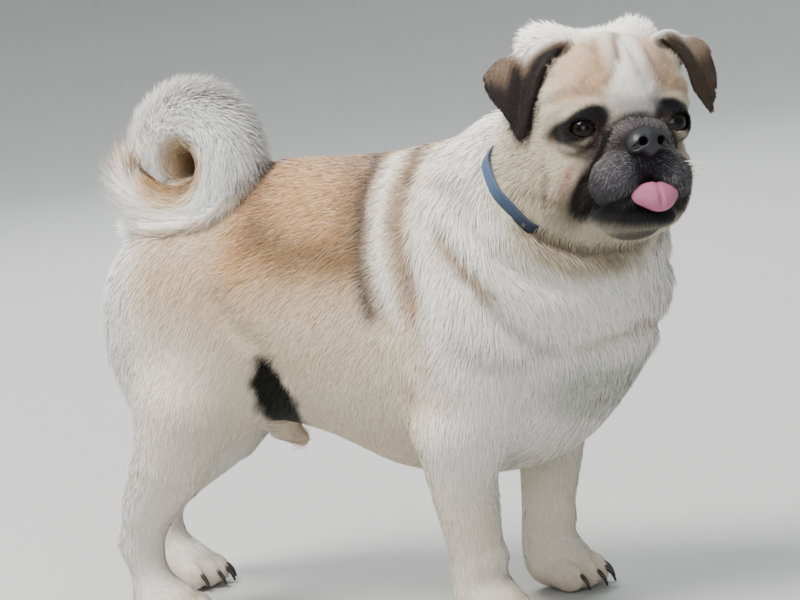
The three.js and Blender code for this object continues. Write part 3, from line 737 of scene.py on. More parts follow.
def patch(points, centre, radii, soft):
    """One in the middle of an egg, fading out at its rim."""
    off = (points - np.asarray(centre, float)) / np.asarray(radii, float)
    near = np.sqrt((off**2).sum(-1))
    return ramp(-near, -1 - soft, -1 + soft)


CREAM = shade(220, 205, 181)
WHITE = shade(246, 245, 242)
FAWN = shade(188, 142, 94)
DEEP_FAWN = shade(140, 102, 66)
SMOKE = shade(92, 74, 62)
MASK = shade(45, 42, 46)
BLACK = shade(14, 12, 13)
GRIZZLE = shade(122, 119, 122)
EAR_DARK = shade(38, 31, 29)
EAR_TAN = shade(138, 114, 95)
SKIN_PINK = shade(178, 140, 126)


def lay(colour, tint, share):
    """Lays a tint over the colours, each by its own share."""
    colour += (tint - colour) * share[:, None]


def mirrored(points):
    """The same places on the right side."""
    return np.column_stack([points[:, 0], -np.abs(points[:, 1]), points[:, 2]])


# Streaks and creases of colour on the body: colour, share, width and places on the right side. Some are
# the hair's own colour; the rest are painted shade in the folds behind the shoulder and at the withers,
# along the saddle's lower edge, in the chest's folds and along the crease between thigh and flank.
BODY_STREAKS_AND_FOLD_SHADE = [
    # painted shade in the fold behind the shoulder
    (SMOKE, 0.95, 6.5,
     [(58, -5, 303), (65, -23, 300), (68, -39, 292), (68, -51, 281), (72, -62, 267), (72, -70, 252),
      (76, -76, 233), (82, -80, 212)]),
    (SMOKE, 0.5, 12, [(46, -5, 304), (52, -31, 296), (58, -47, 284), (60, -58, 272), (63, -68, 256)]),
    # painted shade along the lower edge of the saddle
    (shade(126, 100, 72), 0.85, 15, [(-5, -61, 260), (15, -66, 250), (34, -68, 250), (60, -72, 244)]),
    (SMOKE, 0.45, 10, [(-34, -19, 308), (-20, -32, 295), (-12, -48, 281), (-14, -56, 266)]),
    (WHITE, 0.7, 5.5,
     [(78, -15, 304), (82, -45, 288), (86, -62, 268), (89, -72, 248), (95, -80, 222), (101, -85, 206)]),
    # painted shade in the fold at the withers, with the next two entries for its smoky top and fading lower
    # end
    (shade(146, 116, 90), 0.85, 7.0,
     [(92, -8, 305), (97, -30, 300), (98, -50, 286), (98, -62, 272), (102, -70, 256), (106, -75, 244),
      (111, -79, 227), (114, -83, 214)]),
    (SMOKE, 0.6, 5.0, [(92, -4, 307), (96, -20, 304), (99, -34, 298), (101, -46, 290)]),
    (FAWN, 0.4, 9, [(114, -83, 214), (119, -87, 195), (122, -89, 175)]),
    (DEEP_FAWN, 0.35, 5, [(122, -51, 291), (138, -60, 287), (153, -62, 288)]),
    # painted shade in the chest's folds, here and in the next entry
    (FAWN, 0.5, 6, [(131, -73, 253), (139, -76, 245), (153, -78, 233), (170, -80, 218)]),
    (DEEP_FAWN, 0.28, 7, [(143, -89, 190), (158, -86, 180), (174, -76, 173), (195, -62, 178)]),
    (FAWN, 0.35, 9, [(105, -84, 158), (121, -89, 155), (135, -90, 153)]),
    # painted shade in the chest's folds, here and in the next two entries
    (shade(168, 136, 102), 0.6, 4.5,
     [(133, -72, 254), (141, -74, 246), (150, -76, 238), (158, -77, 228), (162, -77, 217)]),
    (shade(150, 134, 112), 0.3, 5,
     [(163, -78, 213), (171, -76, 202), (180, -70, 192), (189, -64, 184), (199, -56, 179)]),
    (shade(176, 150, 116), 0.55, 5, [(210, -46, 179), (221, -31, 181), (227, -16, 182), (231, 4, 185)]),
    (shade(150, 128, 108), 0.35, 3.5, [(125, -55, 288), (135, -60, 285), (145, -64, 282), (156, -68, 276)]),
    # painted shade along the crease between thigh and flank
    (shade(196, 176, 150), 0.35, 7,
     [(-47, -72, 234), (-41, -69, 225), (-34, -69, 215), (-28, -68, 208), (-23, -68, 198)]),
    (SMOKE, 0.5, 9, [(-29, -19, 313), (-22, -10, 303), (-25, -32, 293), (-27, -44, 282)]),
]
# The same columns for painted shade in the forehead's wrinkles and the folds over the brows, in the head's
# own frame.
HEAD_WRINKLE_SHADE = [
    (shade(110, 78, 54), 0.85, 2.8, [(29, 1, 56), (36, -2, 52), (43, -4, 45), (46, -5, 40)]),
    (shade(150, 112, 84), 0.7, 3.0, [(32, -14, 53), (40, -16, 45), (46, -16, 34)]),
    (shade(150, 112, 84), 0.6, 2.2, [(24, -24, 56), (31, -21, 53), (38, -17, 48)]),
    (shade(180, 138, 104), 0.55, 3.0, [(30, 20, 53), (40, 18, 44), (45, 19, 34)]),
    (shade(168, 124, 92), 0.65, 4.5, [(47, -17, 27), (42, -30, 22), (35, -41, 18)]),
    (shade(168, 124, 92), 0.55, 4.5, [(46, 22, 28), (42, 32, 22), (35, 42, 18)]),
]


def markings(points):
    """The coat's colour at places on the body."""
    x, _, z = points.T
    both = mirrored(points)
    colour = np.tile(CREAM, (len(points), 1))
    lay(colour, WHITE, 0.8 * ramp(x, 100, 128) * ramp(z, 60, 130))
    lay(colour, WHITE, 0.85 * ramp(-x, 84, 122) + 0.35 * ramp(-z, -120, -40) * ramp(x, -88, 0))
    lay(colour, shade(232, 222, 212), 0.7 * ramp(-x, 30, 80) * ramp(-z, -230, -190))
    saddle = ramp(x, -60, -22) * ramp(-x, -80, -64) * ramp(z, 200, 252)
    lay(colour, FAWN, 0.92 * saddle)
    spine = through([(-90, 0, 302), (-20, 0, 306), (60, 0, 308), (100, 0, 312)], 8)
    lay(colour, SMOKE, 0.3 * along_line(both, spine, 24))
    lay(colour, FAWN, 0.4 * patch(both, (-60, -66, 240), (44, 40, 36), 0.7))
    lay(colour, FAWN, 0.25 * patch(both, (20, -74, 200), (60, 40, 30), 0.7))
    # the hair's own streaks, and painted shade in the folds
    for tint, share, width, places in BODY_STREAKS_AND_FOLD_SHADE:
        lay(colour, tint, share * along_line(both, through(places, 10), width))
    # a near-black patch where thigh meets belly, partly painted shadow in that fold and partly dark bare
    # skin
    flank = [(-12, -64, 181), (-14, -58, 168), (-14, -49, 154), (-22, -26, 138)]
    groin = limb(both, flank, [3, 10, 14, 12])
    groin += 1.2 * np.sin(0.31 * x + 0.23 * z) + 0.8 * np.sin(0.5 * z - 0.4 * x)
    lay(colour, shade(6, 5, 5), ramp(-groin, -7, 2))
    # painted shade under the brisket, between the forelegs
    lay(colour, shade(158, 160, 146), 0.6 * patch(both, (203, -20, 148), (24, 52, 22), 0.6))
    lay(colour, SKIN_PINK, 0.6 * patch(both, (-32, 0, 110), (16, 12, 10), 0.5))
    lay(colour, FAWN, 0.25 * ramp(-z, -26, -8))
    share, off, rim = on_tail(points)
    on = tail_blend(off, z, -22, 272)
    lay(colour, WHITE, on * ramp(rim, -0.6, 0.1))
    lay(colour, shade(206, 176, 138), 0.8 * on * ramp(-rim, 0.0, 0.6))
    lay(colour, shade(128, 96, 62), 0.9 * on * ramp(-rim, 0.45, 0.95))
    lay(colour, FAWN, 0.3 * on * ramp(share, 0.78, 1.0) * ramp(-rim, -0.9, 0.2))
    face_markings(points, colour)
    return colour


# How far from its middle line, and above what height, the tail's hair begins.
TAIL_REACH = 27
TAIL_FOOT = 262


def tail_blend(off, height, full, clear):
    """One on the tail, fading to nothing toward the back."""
    return ramp(-off, -TAIL_REACH, full) * ramp(height, TAIL_FOOT, clear)


def on_tail(points):
    """Share along the curl, distance from its middle line, and 1 on the outer rim to -1 in the hole."""
    shares = np.linspace(0, 1, 60)
    middle, _ = tail_line(shares)
    share = np.zeros(len(points))
    off = np.full(len(points), 99.0)
    rim = np.zeros(len(points))
    near = np.sqrt(((points - TAIL_CENTRE) ** 2).sum(1)) < 90
    if near.any():
        gaps = np.sqrt(((points[near][:, None] - middle[None]) ** 2).sum(-1))
        nearest = gaps.argmin(1)
        share[near] = shares[nearest]
        off[near] = gaps.min(1)
        outward = middle[nearest] - TAIL_CENTRE
        outward[:, 1] = 0
        outward /= np.sqrt((outward**2).sum(1, keepdims=True))
        rim[near] = ((points[near] - middle[nearest]) * outward).sum(1) / np.maximum(off[near], 1)
    return share, off, rim


def on_ears(local):
    """Distance from the nearer ear's leather, and the shares from front to rear and root to hem."""
    off = np.full(len(local), 50.0)
    across = np.zeros(len(local))
    down = np.zeros(len(local))
    for side in (-1, 1):
        for number in np.nonzero(off_ear(local, side) < EAR_REACH)[0]:
            _, _, quad, gap = ear_tree[side].find_nearest(local[number].tolist())
            if gap < off[number]:
                off[number] = gap
                across[number] = (quad // (EAR_ALONG - 1) + 0.5) / (EAR_ACROSS - 1)
                down[number] = (quad % (EAR_ALONG - 1) + 0.5) / (EAR_ALONG - 1)
    return off, across, down


# Lines and patches of the face in the order they are laid: colour, share, the frame they are given in,
# and a line's width and places or a patch's middle, half sizes and softness.
UNDER_EYES = [
    ("line", shade(104, 86, 72), 0.7, "sides", 3.0, furrows["eye pouch", -1][0]),
    ("line", shade(118, 102, 78), 0.5, "sides", 2.6,
     through([(10, -57, -34), (18, -52, -37), (27, -45, -42), (31, -38, -48)], 8)),
    ("line", BLACK, 0.95, "sides", 5.2, [(42, -21, 6), (47, -18, 4), (49, -19, -2), (48, -22, -8)]),
    ("line", shade(48, 35, 33), 0.95, "sides", 5.0,
     through([(49, -23, 1), (48, -24, -5), (46, -26, -11), (42, -29, -15)], 8)),
    ("line", shade(52, 44, 44), 0.85, "sides", 4.0,
     through([(38, -42, -5), (43, -37, -9), (45, -31, -11.5), (46, -26, -11)], 8)),
    ("line", GRIZZLE, 0.62, "muzzle", 5.0,
     through([(49, -13, 12), (52, -7, 12), (53, 0, 12), (52, 7, 12), (49, 13, 12)], 12)),
]
ON_MUZZLE = [
    ("patch", shade(84, 70, 66), 0.6, "muzzle sides", (50, -14, -6), (14, 12, 8), 0.6),
    ("patch", GRIZZLE, 0.14, "muzzle sides", (60, -22, -34), (18, 12, 16), 0.6),
    ("patch", GRIZZLE, 0.15, "muzzle sides", (56, -8, -1), (9, 16, 5), 0.6),
    ("patch", BLACK, 0.4, "muzzle", (68, 0, -25), (16, 11, 18), 0.5),
    ("line", BLACK, 0.95, "muzzle", 2.8,
     through([(51, -22, -8), (50.5, -19, -1), (50.5, -10, 4), (51, 0, 5.5), (50.5, 10, 4), (50.5, 19, -1),
              (51, 22, -8)], 20)),
]
ON_JAW = [
    ("line", shade(22, 21, 21), 0.97, "muzzle sides", 7.0,
     through([(28, -33, -49), (43, -30, -53), (57, -17, -55), (63, 0, -55)], 10)),
    # painted shade under the jaw, over the chin's cream
    ("patch", shade(54, 53, 46), 0.9, "muzzle sides", (46, 0, -69), (18, 33, 8.5), 0.5),
    ("line", shade(130, 104, 82), 0.55, "sides", 2.8, furrows["cheek fold", -1][0]),
]

# How the collar stands on the neck. The head's markings begin ahead of it.
COLLAR_CENTRE = np.array([193.6, -14.4, 293.7])
COLLAR_TURN = turned(-26, 37.5, 0)
COLLAR_AXIS = COLLAR_TURN[:, 0]


def face_markings(points, colour):
    """Lays the brow, the mask and the ears over the body's colour."""
    local = (points - HEAD_AT) @ HEAD_TURN
    snout = local - MUZZLE_SET
    frames = {
        "head": local,
        "sides": mirrored(local),
        "muzzle": snout,
        "muzzle sides": mirrored(snout),
    }
    sides, snout_sides = frames["sides"], frames["muzzle sides"]
    near = (np.sqrt((local**2).sum(1)) < 115) * ramp((points - COLLAR_CENTRE) @ COLLAR_AXIS, -14, -2)

    def lay_all(marks):
        for kind, tint, share, frame_name, *form in marks:
            if kind == "line":
                width, places = form
                mark = along_line(frames[frame_name], places, width)
            else:
                mark = patch(frames[frame_name], *form)
            lay(colour, tint, share * near * mark)

    lay(colour, shade(196, 181, 153), 0.8 * (ramp(local[:, 0], -40, 5) * near))
    # painted shade: darker cream low on the sides of the head
    lay(colour, shade(170, 155, 127), 0.6 * near * patch(sides, (10, -54, -30), (40, 26, 34), 0.7))
    lay(colour, WHITE, 0.95 * near * patch(local, (46, 5, 30), (26, 17, 27), 0.6))
    lay(colour, WHITE, 0.95 * near * ramp(local[:, 2], 48, 57) * ramp(-local[:, 0], -36, 0))
    lay(colour, shade(192, 148, 110), 0.65 * near * patch(sides, (40, -25, 36), (24, 17, 19), 0.7))
    # painted shade in the forehead's wrinkles and over the brows
    for tint, share, width, places in HEAD_WRINKLE_SHADE:
        lay(colour, tint, share * near * along_line(local, through(places, 8), width))

    # The dark round of each eye is an egg that slants down toward the nose. Its upper part, under the brow,
    # is painted shadow of the brow over the black of the mask.
    off_eye = sides[:, 1] + EYE_AT[1] + np.where(local[:, 1] < 0, 1.4, 3.0)
    above_eye = local[:, 2] - np.where(local[:, 1] < 0, 3.2, 4.5)
    inward = off_eye * 0.9 + above_eye * 0.43
    upward = above_eye * 0.9 - off_eye * 0.43
    round_eye = ramp(-np.sqrt((inward / 18) ** 2 + (upward / 9.4) ** 2), -1.2, -0.8)
    lay(colour, BLACK, near * round_eye * ramp(local[:, 0], 5, 18))
    lay_all(UNDER_EYES)

    # The mask covers the flews and the bridge; the furrows round it are darker still, the muzzle folds with
    # painted shade.
    bell = patch(snout_sides, (50, 0, -37), (32, 40, 26), 0.14)
    bell += patch(snout_sides, (52, 0, -14), (30, 26, 20), 0.14)
    lay(colour, MASK, near * np.minimum(bell, 1) * ramp(snout[:, 0], 16, 26))
    lay_all(ON_MUZZLE)
    # painted shade deep in each muzzle fold
    for side in (-1, 1):
        crease = furrows["muzzle fold", side][0]
        lay(colour, shade(92, 70, 60), 0.8 * near * along_line(local, crease[2:], 5.0))
        lay(colour, BLACK, 0.97 * near * ramp(along_line(local, crease[:-1], 3.4), 0.15, 0.7))
    behind = through([(41, -36, -15), (36, -40, -24), (33, -42, -32), (29, -43, -42)], 8)
    lay(colour, shade(140, 98, 78), 0.75 * near * along_line(snout_sides, behind, 3.6))
    for side in (-1, 1):
        lay(colour, BLACK, near * along_line(local, furrows["lips", side][0], 3.6))
    jowl = patch(snout_sides, (31, -33, -43), (12, 9, 11), 0.4)
    lay(colour, shade(24, 20, 20), 0.95 * near * jowl)
    # painted shade beside the corner of the mouth, outside the black jowl
    beside = patch(snout_sides, (27, -42, -50), (15, 10, 14), 0.7)
    lay(colour, shade(108, 98, 80), 0.6 * near * beside * (1 - jowl))
    lay_all(ON_JAW)

    # The throat is shaded in its fold and paler above and below it.
    lay(colour, shade(180, 168, 140), 0.6 * patch(points, (205, -62, 246), (34, 26, 16), 0.6))
    throat = along_line(points, THROAT_FOLD[2:], 6.0) * ramp(-points[:, 0], -268, -240)
    lay(colour, shade(92, 74, 52), 0.8 * throat)
    below = [(192, -68, 259), (202, -68, 243), (213, -61, 236), (221, -53, 231), (232, -33, 233)]
    lay(colour, shade(140, 122, 94), 0.45 * along_line(points, through(below, 12), 7.0))

    # The ears are pale at the root and dark from their fold down, with painted light along the middle of
    # the flap and over the held-out left ear, and painted shade in the opening of the cup at the rear edge.
    off, across, down = on_ears(local)
    starts = 0.5 + 0.13 * np.exp(-(((across - 0.36) / 0.2) ** 2))
    dark = ramp(down, starts - 0.03, starts + 0.08)
    lit = ramp(across, 0.52, 0.62) * ramp(-down, -0.88, -0.62)
    held_out = ramp(local[:, 1], 10, 20) * ramp(-down, -0.85, -0.55) * ramp(across, 0.15, 0.35)
    held_out = np.maximum(0.95 * held_out, 0.22 * ramp(local[:, 1], 0, 10))
    ear_colour = np.tile(WHITE, (len(local), 1))
    lay(ear_colour, EAR_TAN, ramp(down, starts - 0.14, starts + 0.02))
    lay(ear_colour, EAR_DARK, dark * (1 - np.maximum(0.75 * lit, held_out)))
    # painted light on the left ear, which is held out toward the light
    lay(ear_colour, shade(190, 166, 146), 0.4 * ramp(held_out, 0.4, 0.9))
    # painted shade in the opening of the ear's cup
    lay(ear_colour, BLACK, 0.8 * ramp(across, 0.93, 0.98) * ramp(down, 0.4, 0.6))
    lay(colour, ear_colour, ramp(-off, -5.5, -3.5) * near * ramp(down, 0.2, 0.45))


def colour_mesh(mesh, colours):
    """Stores the markings on a mesh."""
    held = mesh.color_attributes.new("markings", "FLOAT_COLOR", "POINT")
    full = np.ones((len(colours), 4), np.float32)
    full[:, :3] = colours
    held.data.foreach_set("color", full.ravel())


def new_material(name):
    """A material with its node tree and its surface shader."""
    made = bpy.data.materials.new(name)
    made.use_nodes = True
    tree = made.node_tree
    return made, tree, tree.nodes["Principled BSDF"]


def add_node(tree, kind, values=None, **properties):
    """A shader node with its properties and the values of its sockets."""
    made = tree.nodes.new("ShaderNode" + kind)
    for name, value in properties.items():
        setattr(made, name, value)
    for name, value in (values or {}).items():
        made.inputs[name].default_value = value
    return made


# Fine grain of a surface: a noise as a value, and the normals it gives.
grain_group = bpy.data.node_groups.new("fine grain", "ShaderNodeTree")
for name in ("Scale", "Detail", "Strength", "Distance"):
    grain_group.interface.new_socket(name, in_out="INPUT", socket_type="NodeSocketFloat")
grain_group.interface.new_socket("Grain", in_out="OUTPUT", socket_type="NodeSocketFloat")
grain_group.interface.new_socket("Normal", in_out="OUTPUT", socket_type="NodeSocketVector")
given = grain_group.nodes.new("NodeGroupInput")
result = grain_group.nodes.new("NodeGroupOutput")
place = add_node(grain_group, "TexCoord")
noise = add_node(grain_group, "TexNoise")
bump = add_node(grain_group, "Bump")
grain_group.links.new(place.outputs["Object"], noise.inputs["Vector"])
grain_group.links.new(given.outputs["Scale"], noise.inputs["Scale"])
grain_group.links.new(given.outputs["Detail"], noise.inputs["Detail"])
grain_group.links.new(given.outputs["Strength"], bump.inputs["Strength"])
grain_group.links.new(given.outputs["Distance"], bump.inputs["Distance"])
grain_group.links.new(noise.outputs["Fac"], bump.inputs["Height"])
grain_group.links.new(noise.outputs["Fac"], result.inputs["Grain"])
grain_group.links.new(bump.outputs["Normal"], result.inputs["Normal"])


def fine_grain(tree, scale, detail, strength, distance):
    """Places the fine grain in a material with its own values."""
    values = {"Scale": scale, "Detail": detail, "Strength": strength, "Distance": distance}
    return add_node(tree, "Group", values, node_tree=grain_group)


hide, tree, principled = new_material("hide")
held = add_node(tree, "Attribute", attribute_name="markings")
fine = fine_grain(tree, 900, 3, 0.35, 0.0006)
spread = add_node(tree, "MapRange", {"To Min": 0.7, "To Max": 1.25})
grain = add_node(tree, "Mix", {"Factor": 0.5}, data_type="RGBA", blend_type="MULTIPLY")
tree.links.new(fine.outputs["Grain"], spread.inputs["Value"])
tree.links.new(held.outputs["Color"], grain.inputs["A"])
tree.links.new(spread.outputs["Result"], grain.inputs["B"])
tree.links.new(grain.outputs["Result"], principled.inputs["Base Color"])
tree.links.new(fine.outputs["Normal"], principled.inputs["Normal"])
principled.inputs["Roughness"].default_value = 0.9
principled.inputs["Specular IOR Level"].default_value = 0.1
skin.data.materials.append(hide)
colour_mesh(skin.data, markings(corners) * 0.92)


# Eyes: dark brown balls that nearly fill the opening of the lids, each with a clear bulging front.
# They are smooth and wet, and sit in sockets of their own in the skull.
def eyeball(name, side):
    """One eye, with the angle from its look kept at each corner for the rings of the iris."""
    centre, turn = eye_place(side)
    rings, around = 44, 64
    angles = np.pi * (np.arange(rings + 1) / rings) ** 1.25
    points = []
    aways = []
    for away in angles:
        radius = EYE_RADIUS + 0.9 * math.exp(-((math.degrees(away) / 27) ** 2))
        for step in range(around):
            turned_by = 2 * math.pi * step / around
            points.append((
                radius * math.cos(away),
                radius * math.sin(away) * math.cos(turned_by),
                radius * math.sin(away) * math.sin(turned_by),
            ))
            aways.append(math.degrees(away) / 90)
    quads = []
    for ring in range(rings):
        for step in range(around):
            here, after = ring * around + step, ring * around + (step + 1) % around
            quads.append((here, here + around, after + around, after))
    in_head = centre + np.array(points) @ turn.T
    made = piece(name, from_head(in_head), np.array(quads)[:, ::-1], eye_surface)
    held = made.data.attributes.new("from_look", "FLOAT", "POINT")
    held.data.foreach_set("value", np.array(aways, np.float32)[:len(made.data.vertices)])
    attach(made, "root")
    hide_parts(name)


eye_surface, tree, principled = new_material("eye surface")
held = add_node(tree, "Attribute", attribute_name="from_look")
rings = add_node(tree, "ValToRGB")
stops = rings.color_ramp.elements
stops[0].position = 0.0
stops[0].color = (0.001, 0.001, 0.001, 1)
stops[1].position = 0.2
stops[1].color = (0.001, 0.001, 0.001, 1)
for at, tint in (
    (0.25, (0.012, 0.006, 0.004, 1)),
    (0.4, (0.014, 0.007, 0.005, 1)),
    (0.47, (0.004, 0.003, 0.002, 1)),
    (0.57, (0.005, 0.004, 0.005, 1)),
    (0.68, (0.012, 0.010, 0.011, 1)),
    (0.9, (0.05, 0.04, 0.04, 1)),
):
    stops.new(at).color = tint
tree.links.new(held.outputs["Fac"], rings.inputs["Fac"])
tree.links.new(rings.outputs["Color"], principled.inputs["Base Color"])
principled.inputs["Roughness"].default_value = 0.12
principled.inputs["Specular IOR Level"].default_value = 0.15
principled.inputs["Coat Weight"].default_value = 0.45
principled.inputs["Coat Roughness"].default_value = 0.02
principled.inputs["Coat IOR"].default_value = 1.33
for name, side in (("eye_right", -1), ("eye_left", 1)):
    eyeball(name, side)


# Nose leather: black, finely pebbled and moist, set on the front of the muzzle. It has a groove down
# the middle and two round nostrils that run out to the sides in slits.
def nose_form(local):
    """Distance to the nose."""
    snout = local - MUZZLE_SET
    form = egg(snout, (62, 0, -9.5), (10, 10.5, 8.2))
    for side in (-1, 1):
        form = soft_min(form, egg(snout, (62.5, side * 7.3, -10.5), (9.2, 6.2, 6.6)), 3.0)
        form = soft_min(form, egg(snout, (63.5, side * 9.5, -12.5), (7.5, 3.6, 4.6)), 2.0)
    form = soft_min(form, egg(snout, (62, 0, -15), (8.5, 4.5, 5.5)), 3)
    groove = from_line(snout, through([(74, 0, -5), (73.5, 0, -12), (71, 0, -22)], 8))
    form = form + 1.3 * np.exp(-((groove / 1.1) ** 2))
    for side in (-1, 1):
        opening = [(62, side * 5.2, -10), (71, side * 5.9, -10.2), (70.8, side * 8.8, -12.6),
                   (68.2, side * 12, -14.6)]
        form = -soft_min(-form, tube(snout, opening, [2.4, 2.8, 2.3, 1.8], 10), 0.8)
    return form


def set_in_head(name, form, box, step, material):
    """A small piece of the head from its form, inside a box of the head's own frame."""
    planes = [np.arange(start, end, step) for start, end in box]
    small_corners, small_faces = laid_on_grid(form, planes)
    return piece(name, from_head(settle(form, small_corners, 2, 0.6)), small_faces, material)


nose_leather, tree, principled = new_material("nose leather")
place = add_node(tree, "TexCoord")
pebbles = add_node(tree, "TexVoronoi", {"Scale": 1100})
bump = add_node(tree, "Bump", {"Strength": 0.45, "Distance": 0.0004})
tree.links.new(place.outputs["Object"], pebbles.inputs["Vector"])
tree.links.new(pebbles.outputs["Distance"], bump.inputs["Height"])
tree.links.new(bump.outputs["Normal"], principled.inputs["Normal"])
principled.inputs["Base Color"].default_value = (0.012, 0.012, 0.015, 1)
principled.inputs["Roughness"].default_value = 0.38
nose = set_in_head("nose_pad", nose_form, ((48, 78), (-15, 20), (-25, 3)), 0.55, nose_leather)
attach(nose, "root")
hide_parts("nose")


# Tongue: its soft pink tip comes out between the closed lips and hangs over the lower one, a little
# to the left. It is one moist muscle with a groove down the middle.
def tongue_form(local):
    """Distance to the tongue."""
    snout = local - MUZZLE_SET
    form = egg(snout, (52, 4, -38), (14, 13.5, 3.6), turned(0, -14, 0))
    form = soft_min(form, egg(snout, (63.5, 2, -43), (4.2, 15.4, 8.0), turned(0, 8, 0)), 4)
    form = soft_min(form, egg(snout, (64, 4.5, -47), (3.8, 8.5, 6.5), turned(0, 8, 0)), 4)
    line = through([(52, 4, -34), (64, 4, -34.5), (69, 4, -41), (68.5, 4.5, -47), (67.5, 4.5, -54)], 12)
    return form + 1.7 * np.exp(-((from_line(snout, line) / 1.4) ** 2))


tongue_flesh, tree, principled = new_material("tongue flesh")
fine = fine_grain(tree, 1400, 2, 0.4, 0.0003)
tree.links.new(fine.outputs["Normal"], principled.inputs["Normal"])
principled.inputs["Base Color"].default_value = (0.42, 0.125, 0.215, 1)
principled.inputs["Roughness"].default_value = 0.38
principled.inputs["Subsurface Weight"].default_value = 0.15
principled.inputs["Subsurface Radius"].default_value = (0.004, 0.0015, 0.001)
tongue = set_in_head("tongue_tip", tongue_form, ((34, 75), (-13, 26), (-58, -28)), 0.7, tongue_flesh)
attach(tongue, "root")
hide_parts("tongue")


# Coat: tufts of short soft hair over the whole hide, each a thin tapered blade rooted in the skin that
# follows the lie of the coat: back along the trunk, down the legs, up the forehead and round the curl.
bpy.context.view_layer.objects.active = skin
skin.select_set(True)
bpy.ops.object.mode_set(mode="EDIT")
bpy.ops.mesh.select_all(action="SELECT")
bpy.ops.uv.smart_project(angle_limit=1.4)
bpy.ops.uv.pack_islands(margin=0.001)
bpy.ops.object.mode_set(mode="OBJECT")
unwrapped = np.empty(len(skin.data.loops) * 2, np.float32)
skin.data.uv_layers[0].data.foreach_get("uv", unwrapped)
unwrapped = unwrapped.reshape(-1, 4, 2)
skin.data.uv_layers.remove(skin.data.uv_layers[0])
faces = np.empty(len(skin.data.loops), np.int32)
skin.data.loops.foreach_get("vertex_index", faces)
faces = faces.reshape(-1, 4)


def unit(vectors, least=1e-9):
    """The vectors at length one."""
    return vectors / np.maximum(np.sqrt((vectors**2).sum(1, keepdims=True)), least)


quad_corners = corners[faces]
facing = np.cross(quad_corners[:, 2] - quad_corners[:, 0], quad_corners[:, 3] - quad_corners[:, 1])
areas = np.sqrt((facing**2).sum(1)) / 2
normals = np.zeros_like(corners)
for number in range(4):
    np.add.at(normals, faces[:, number], facing)
normals = unit(normals)
middles = quad_corners.mean(1)

# The lie of the coat at places on the right side of the body, and on the head in its own frame.
BODY_LIE = [
    ((-100, 0, 292), (-1, 0, -0.35)), ((-40, 0, 305), (-1, 0, -0.1)), ((40, 0, 306), (-1, 0, -0.05)),
    ((110, 0, 312), (-1, -0.1, 0.05)), ((150, -20, 325), (-0.9, -0.3, -0.2)),
    ((150, -60, 300), (-0.35, -0.4, -0.8)), ((165, -80, 265), (0.25, -0.2, -1)),
    ((190, -85, 240), (0.5, 0.1, -0.9)), ((130, -85, 250), (-0.25, -0.1, -1)),
    ((120, -92, 200), (-0.45, 0, -0.9)), ((80, -84, 260), (-0.9, -0.1, -0.45)),
    ((30, -78, 260), (-0.9, -0.1, -0.4)), ((-20, -72, 260), (-0.9, -0.1, -0.35)),
    ((60, -86, 200), (-0.75, 0, -0.65)), ((0, -78, 200), (-0.8, 0, -0.6)),
    ((60, -70, 140), (-0.55, 0.3, -0.8)), ((0, -60, 140), (-0.6, 0.4, -0.6)), ((60, 0, 100), (-1, 0, 0)),
    ((-30, 0, 122), (-0.8, 0, 0.3)), ((245, 0, 235), (0.1, 0, -1)), ((240, -40, 215), (0.15, 0.2, -1)),
    ((215, -60, 180), (-0.2, 0.4, -0.9)), ((200, 0, 130), (-0.7, 0, -0.7)),
    ((150, -20, 98), (-1, 0, -0.1)), ((125, -95, 150), (-0.25, 0, -1)), ((125, -90, 100), (-0.1, 0, -1)),
    ((125, -80, 50), (0.05, 0, -1)), ((145, -60, 20), (0.8, 0, -0.5)), ((-60, -80, 230), (-0.5, 0, -0.8)),
    ((-95, -80, 190), (-0.45, 0, -0.9)), ((-135, -50, 220), (-0.35, 0, -1)),
    ((-140, -40, 170), (-0.1, 0.2, -1)), ((-85, -85, 140), (-0.35, 0, -0.9)),
    ((-115, -70, 95), (-0.35, 0, -0.9)), ((-145, -58, 50), (0.1, 0, -1)), ((-160, 50, 50), (0.05, 0, -1)),
    ((-105, -58, 18), (0.8, 0, -0.5)), ((-150, 50, 18), (0.8, 0, -0.5)),
    ((-60, -30, 150), (-0.5, 0.3, -0.7)),
]
HEAD_LIE = [
    ((60, -6, 4), (-0.2, -0.5, 0.8)), ((54, 0, 12), (-0.2, 0, 1)), ((50, 0, 30), (-0.3, 0, 1)),
    ((30, 0, 55), (-0.9, 0, 0.4)), ((0, 0, 65), (-1, 0, 0)), ((-40, 0, 45), (-0.7, 0, -0.7)),
    ((40, -24, 34), (-0.5, -0.35, 0.8)), ((15, -40, 50), (-0.8, -0.4, 0.4)),
    ((25, -48, 15), (-0.8, -0.5, 0.1)), ((37, -45, 0), (-0.8, -0.6, -0.1)),
    ((45, -30, 17), (-0.5, -0.5, 0.6)), ((36, -40, -14), (-0.7, -0.5, -0.4)),
    ((10, -54, -10), (-0.9, -0.1, -0.35)), ((12, -55, -38), (-0.75, 0.1, -0.65)),
    ((-20, -55, -20), (-0.9, 0, -0.4)), ((66, -6, -24), (-0.1, -0.7, -0.6)),
    ((62, -18, -22), (-0.35, -0.7, -0.6)), ((56, -30, -32), (-0.5, -0.5, -0.8)),
    ((60, -16, -44), (-0.2, -0.4, -0.9)), ((46, -28, -2), (-0.3, -0.6, 0.3)),
    ((56, 0, -64), (-0.3, 0, -1)), ((40, -26, -62), (-0.5, -0.2, -0.9)),
    ((10, -30, -72), (-0.8, 0, -0.6)), ((-5, -25, 62), (-0.7, -0.5, 0.5)),
    ((-25, -45, 40), (-0.8, -0.3, -0.2)),
]

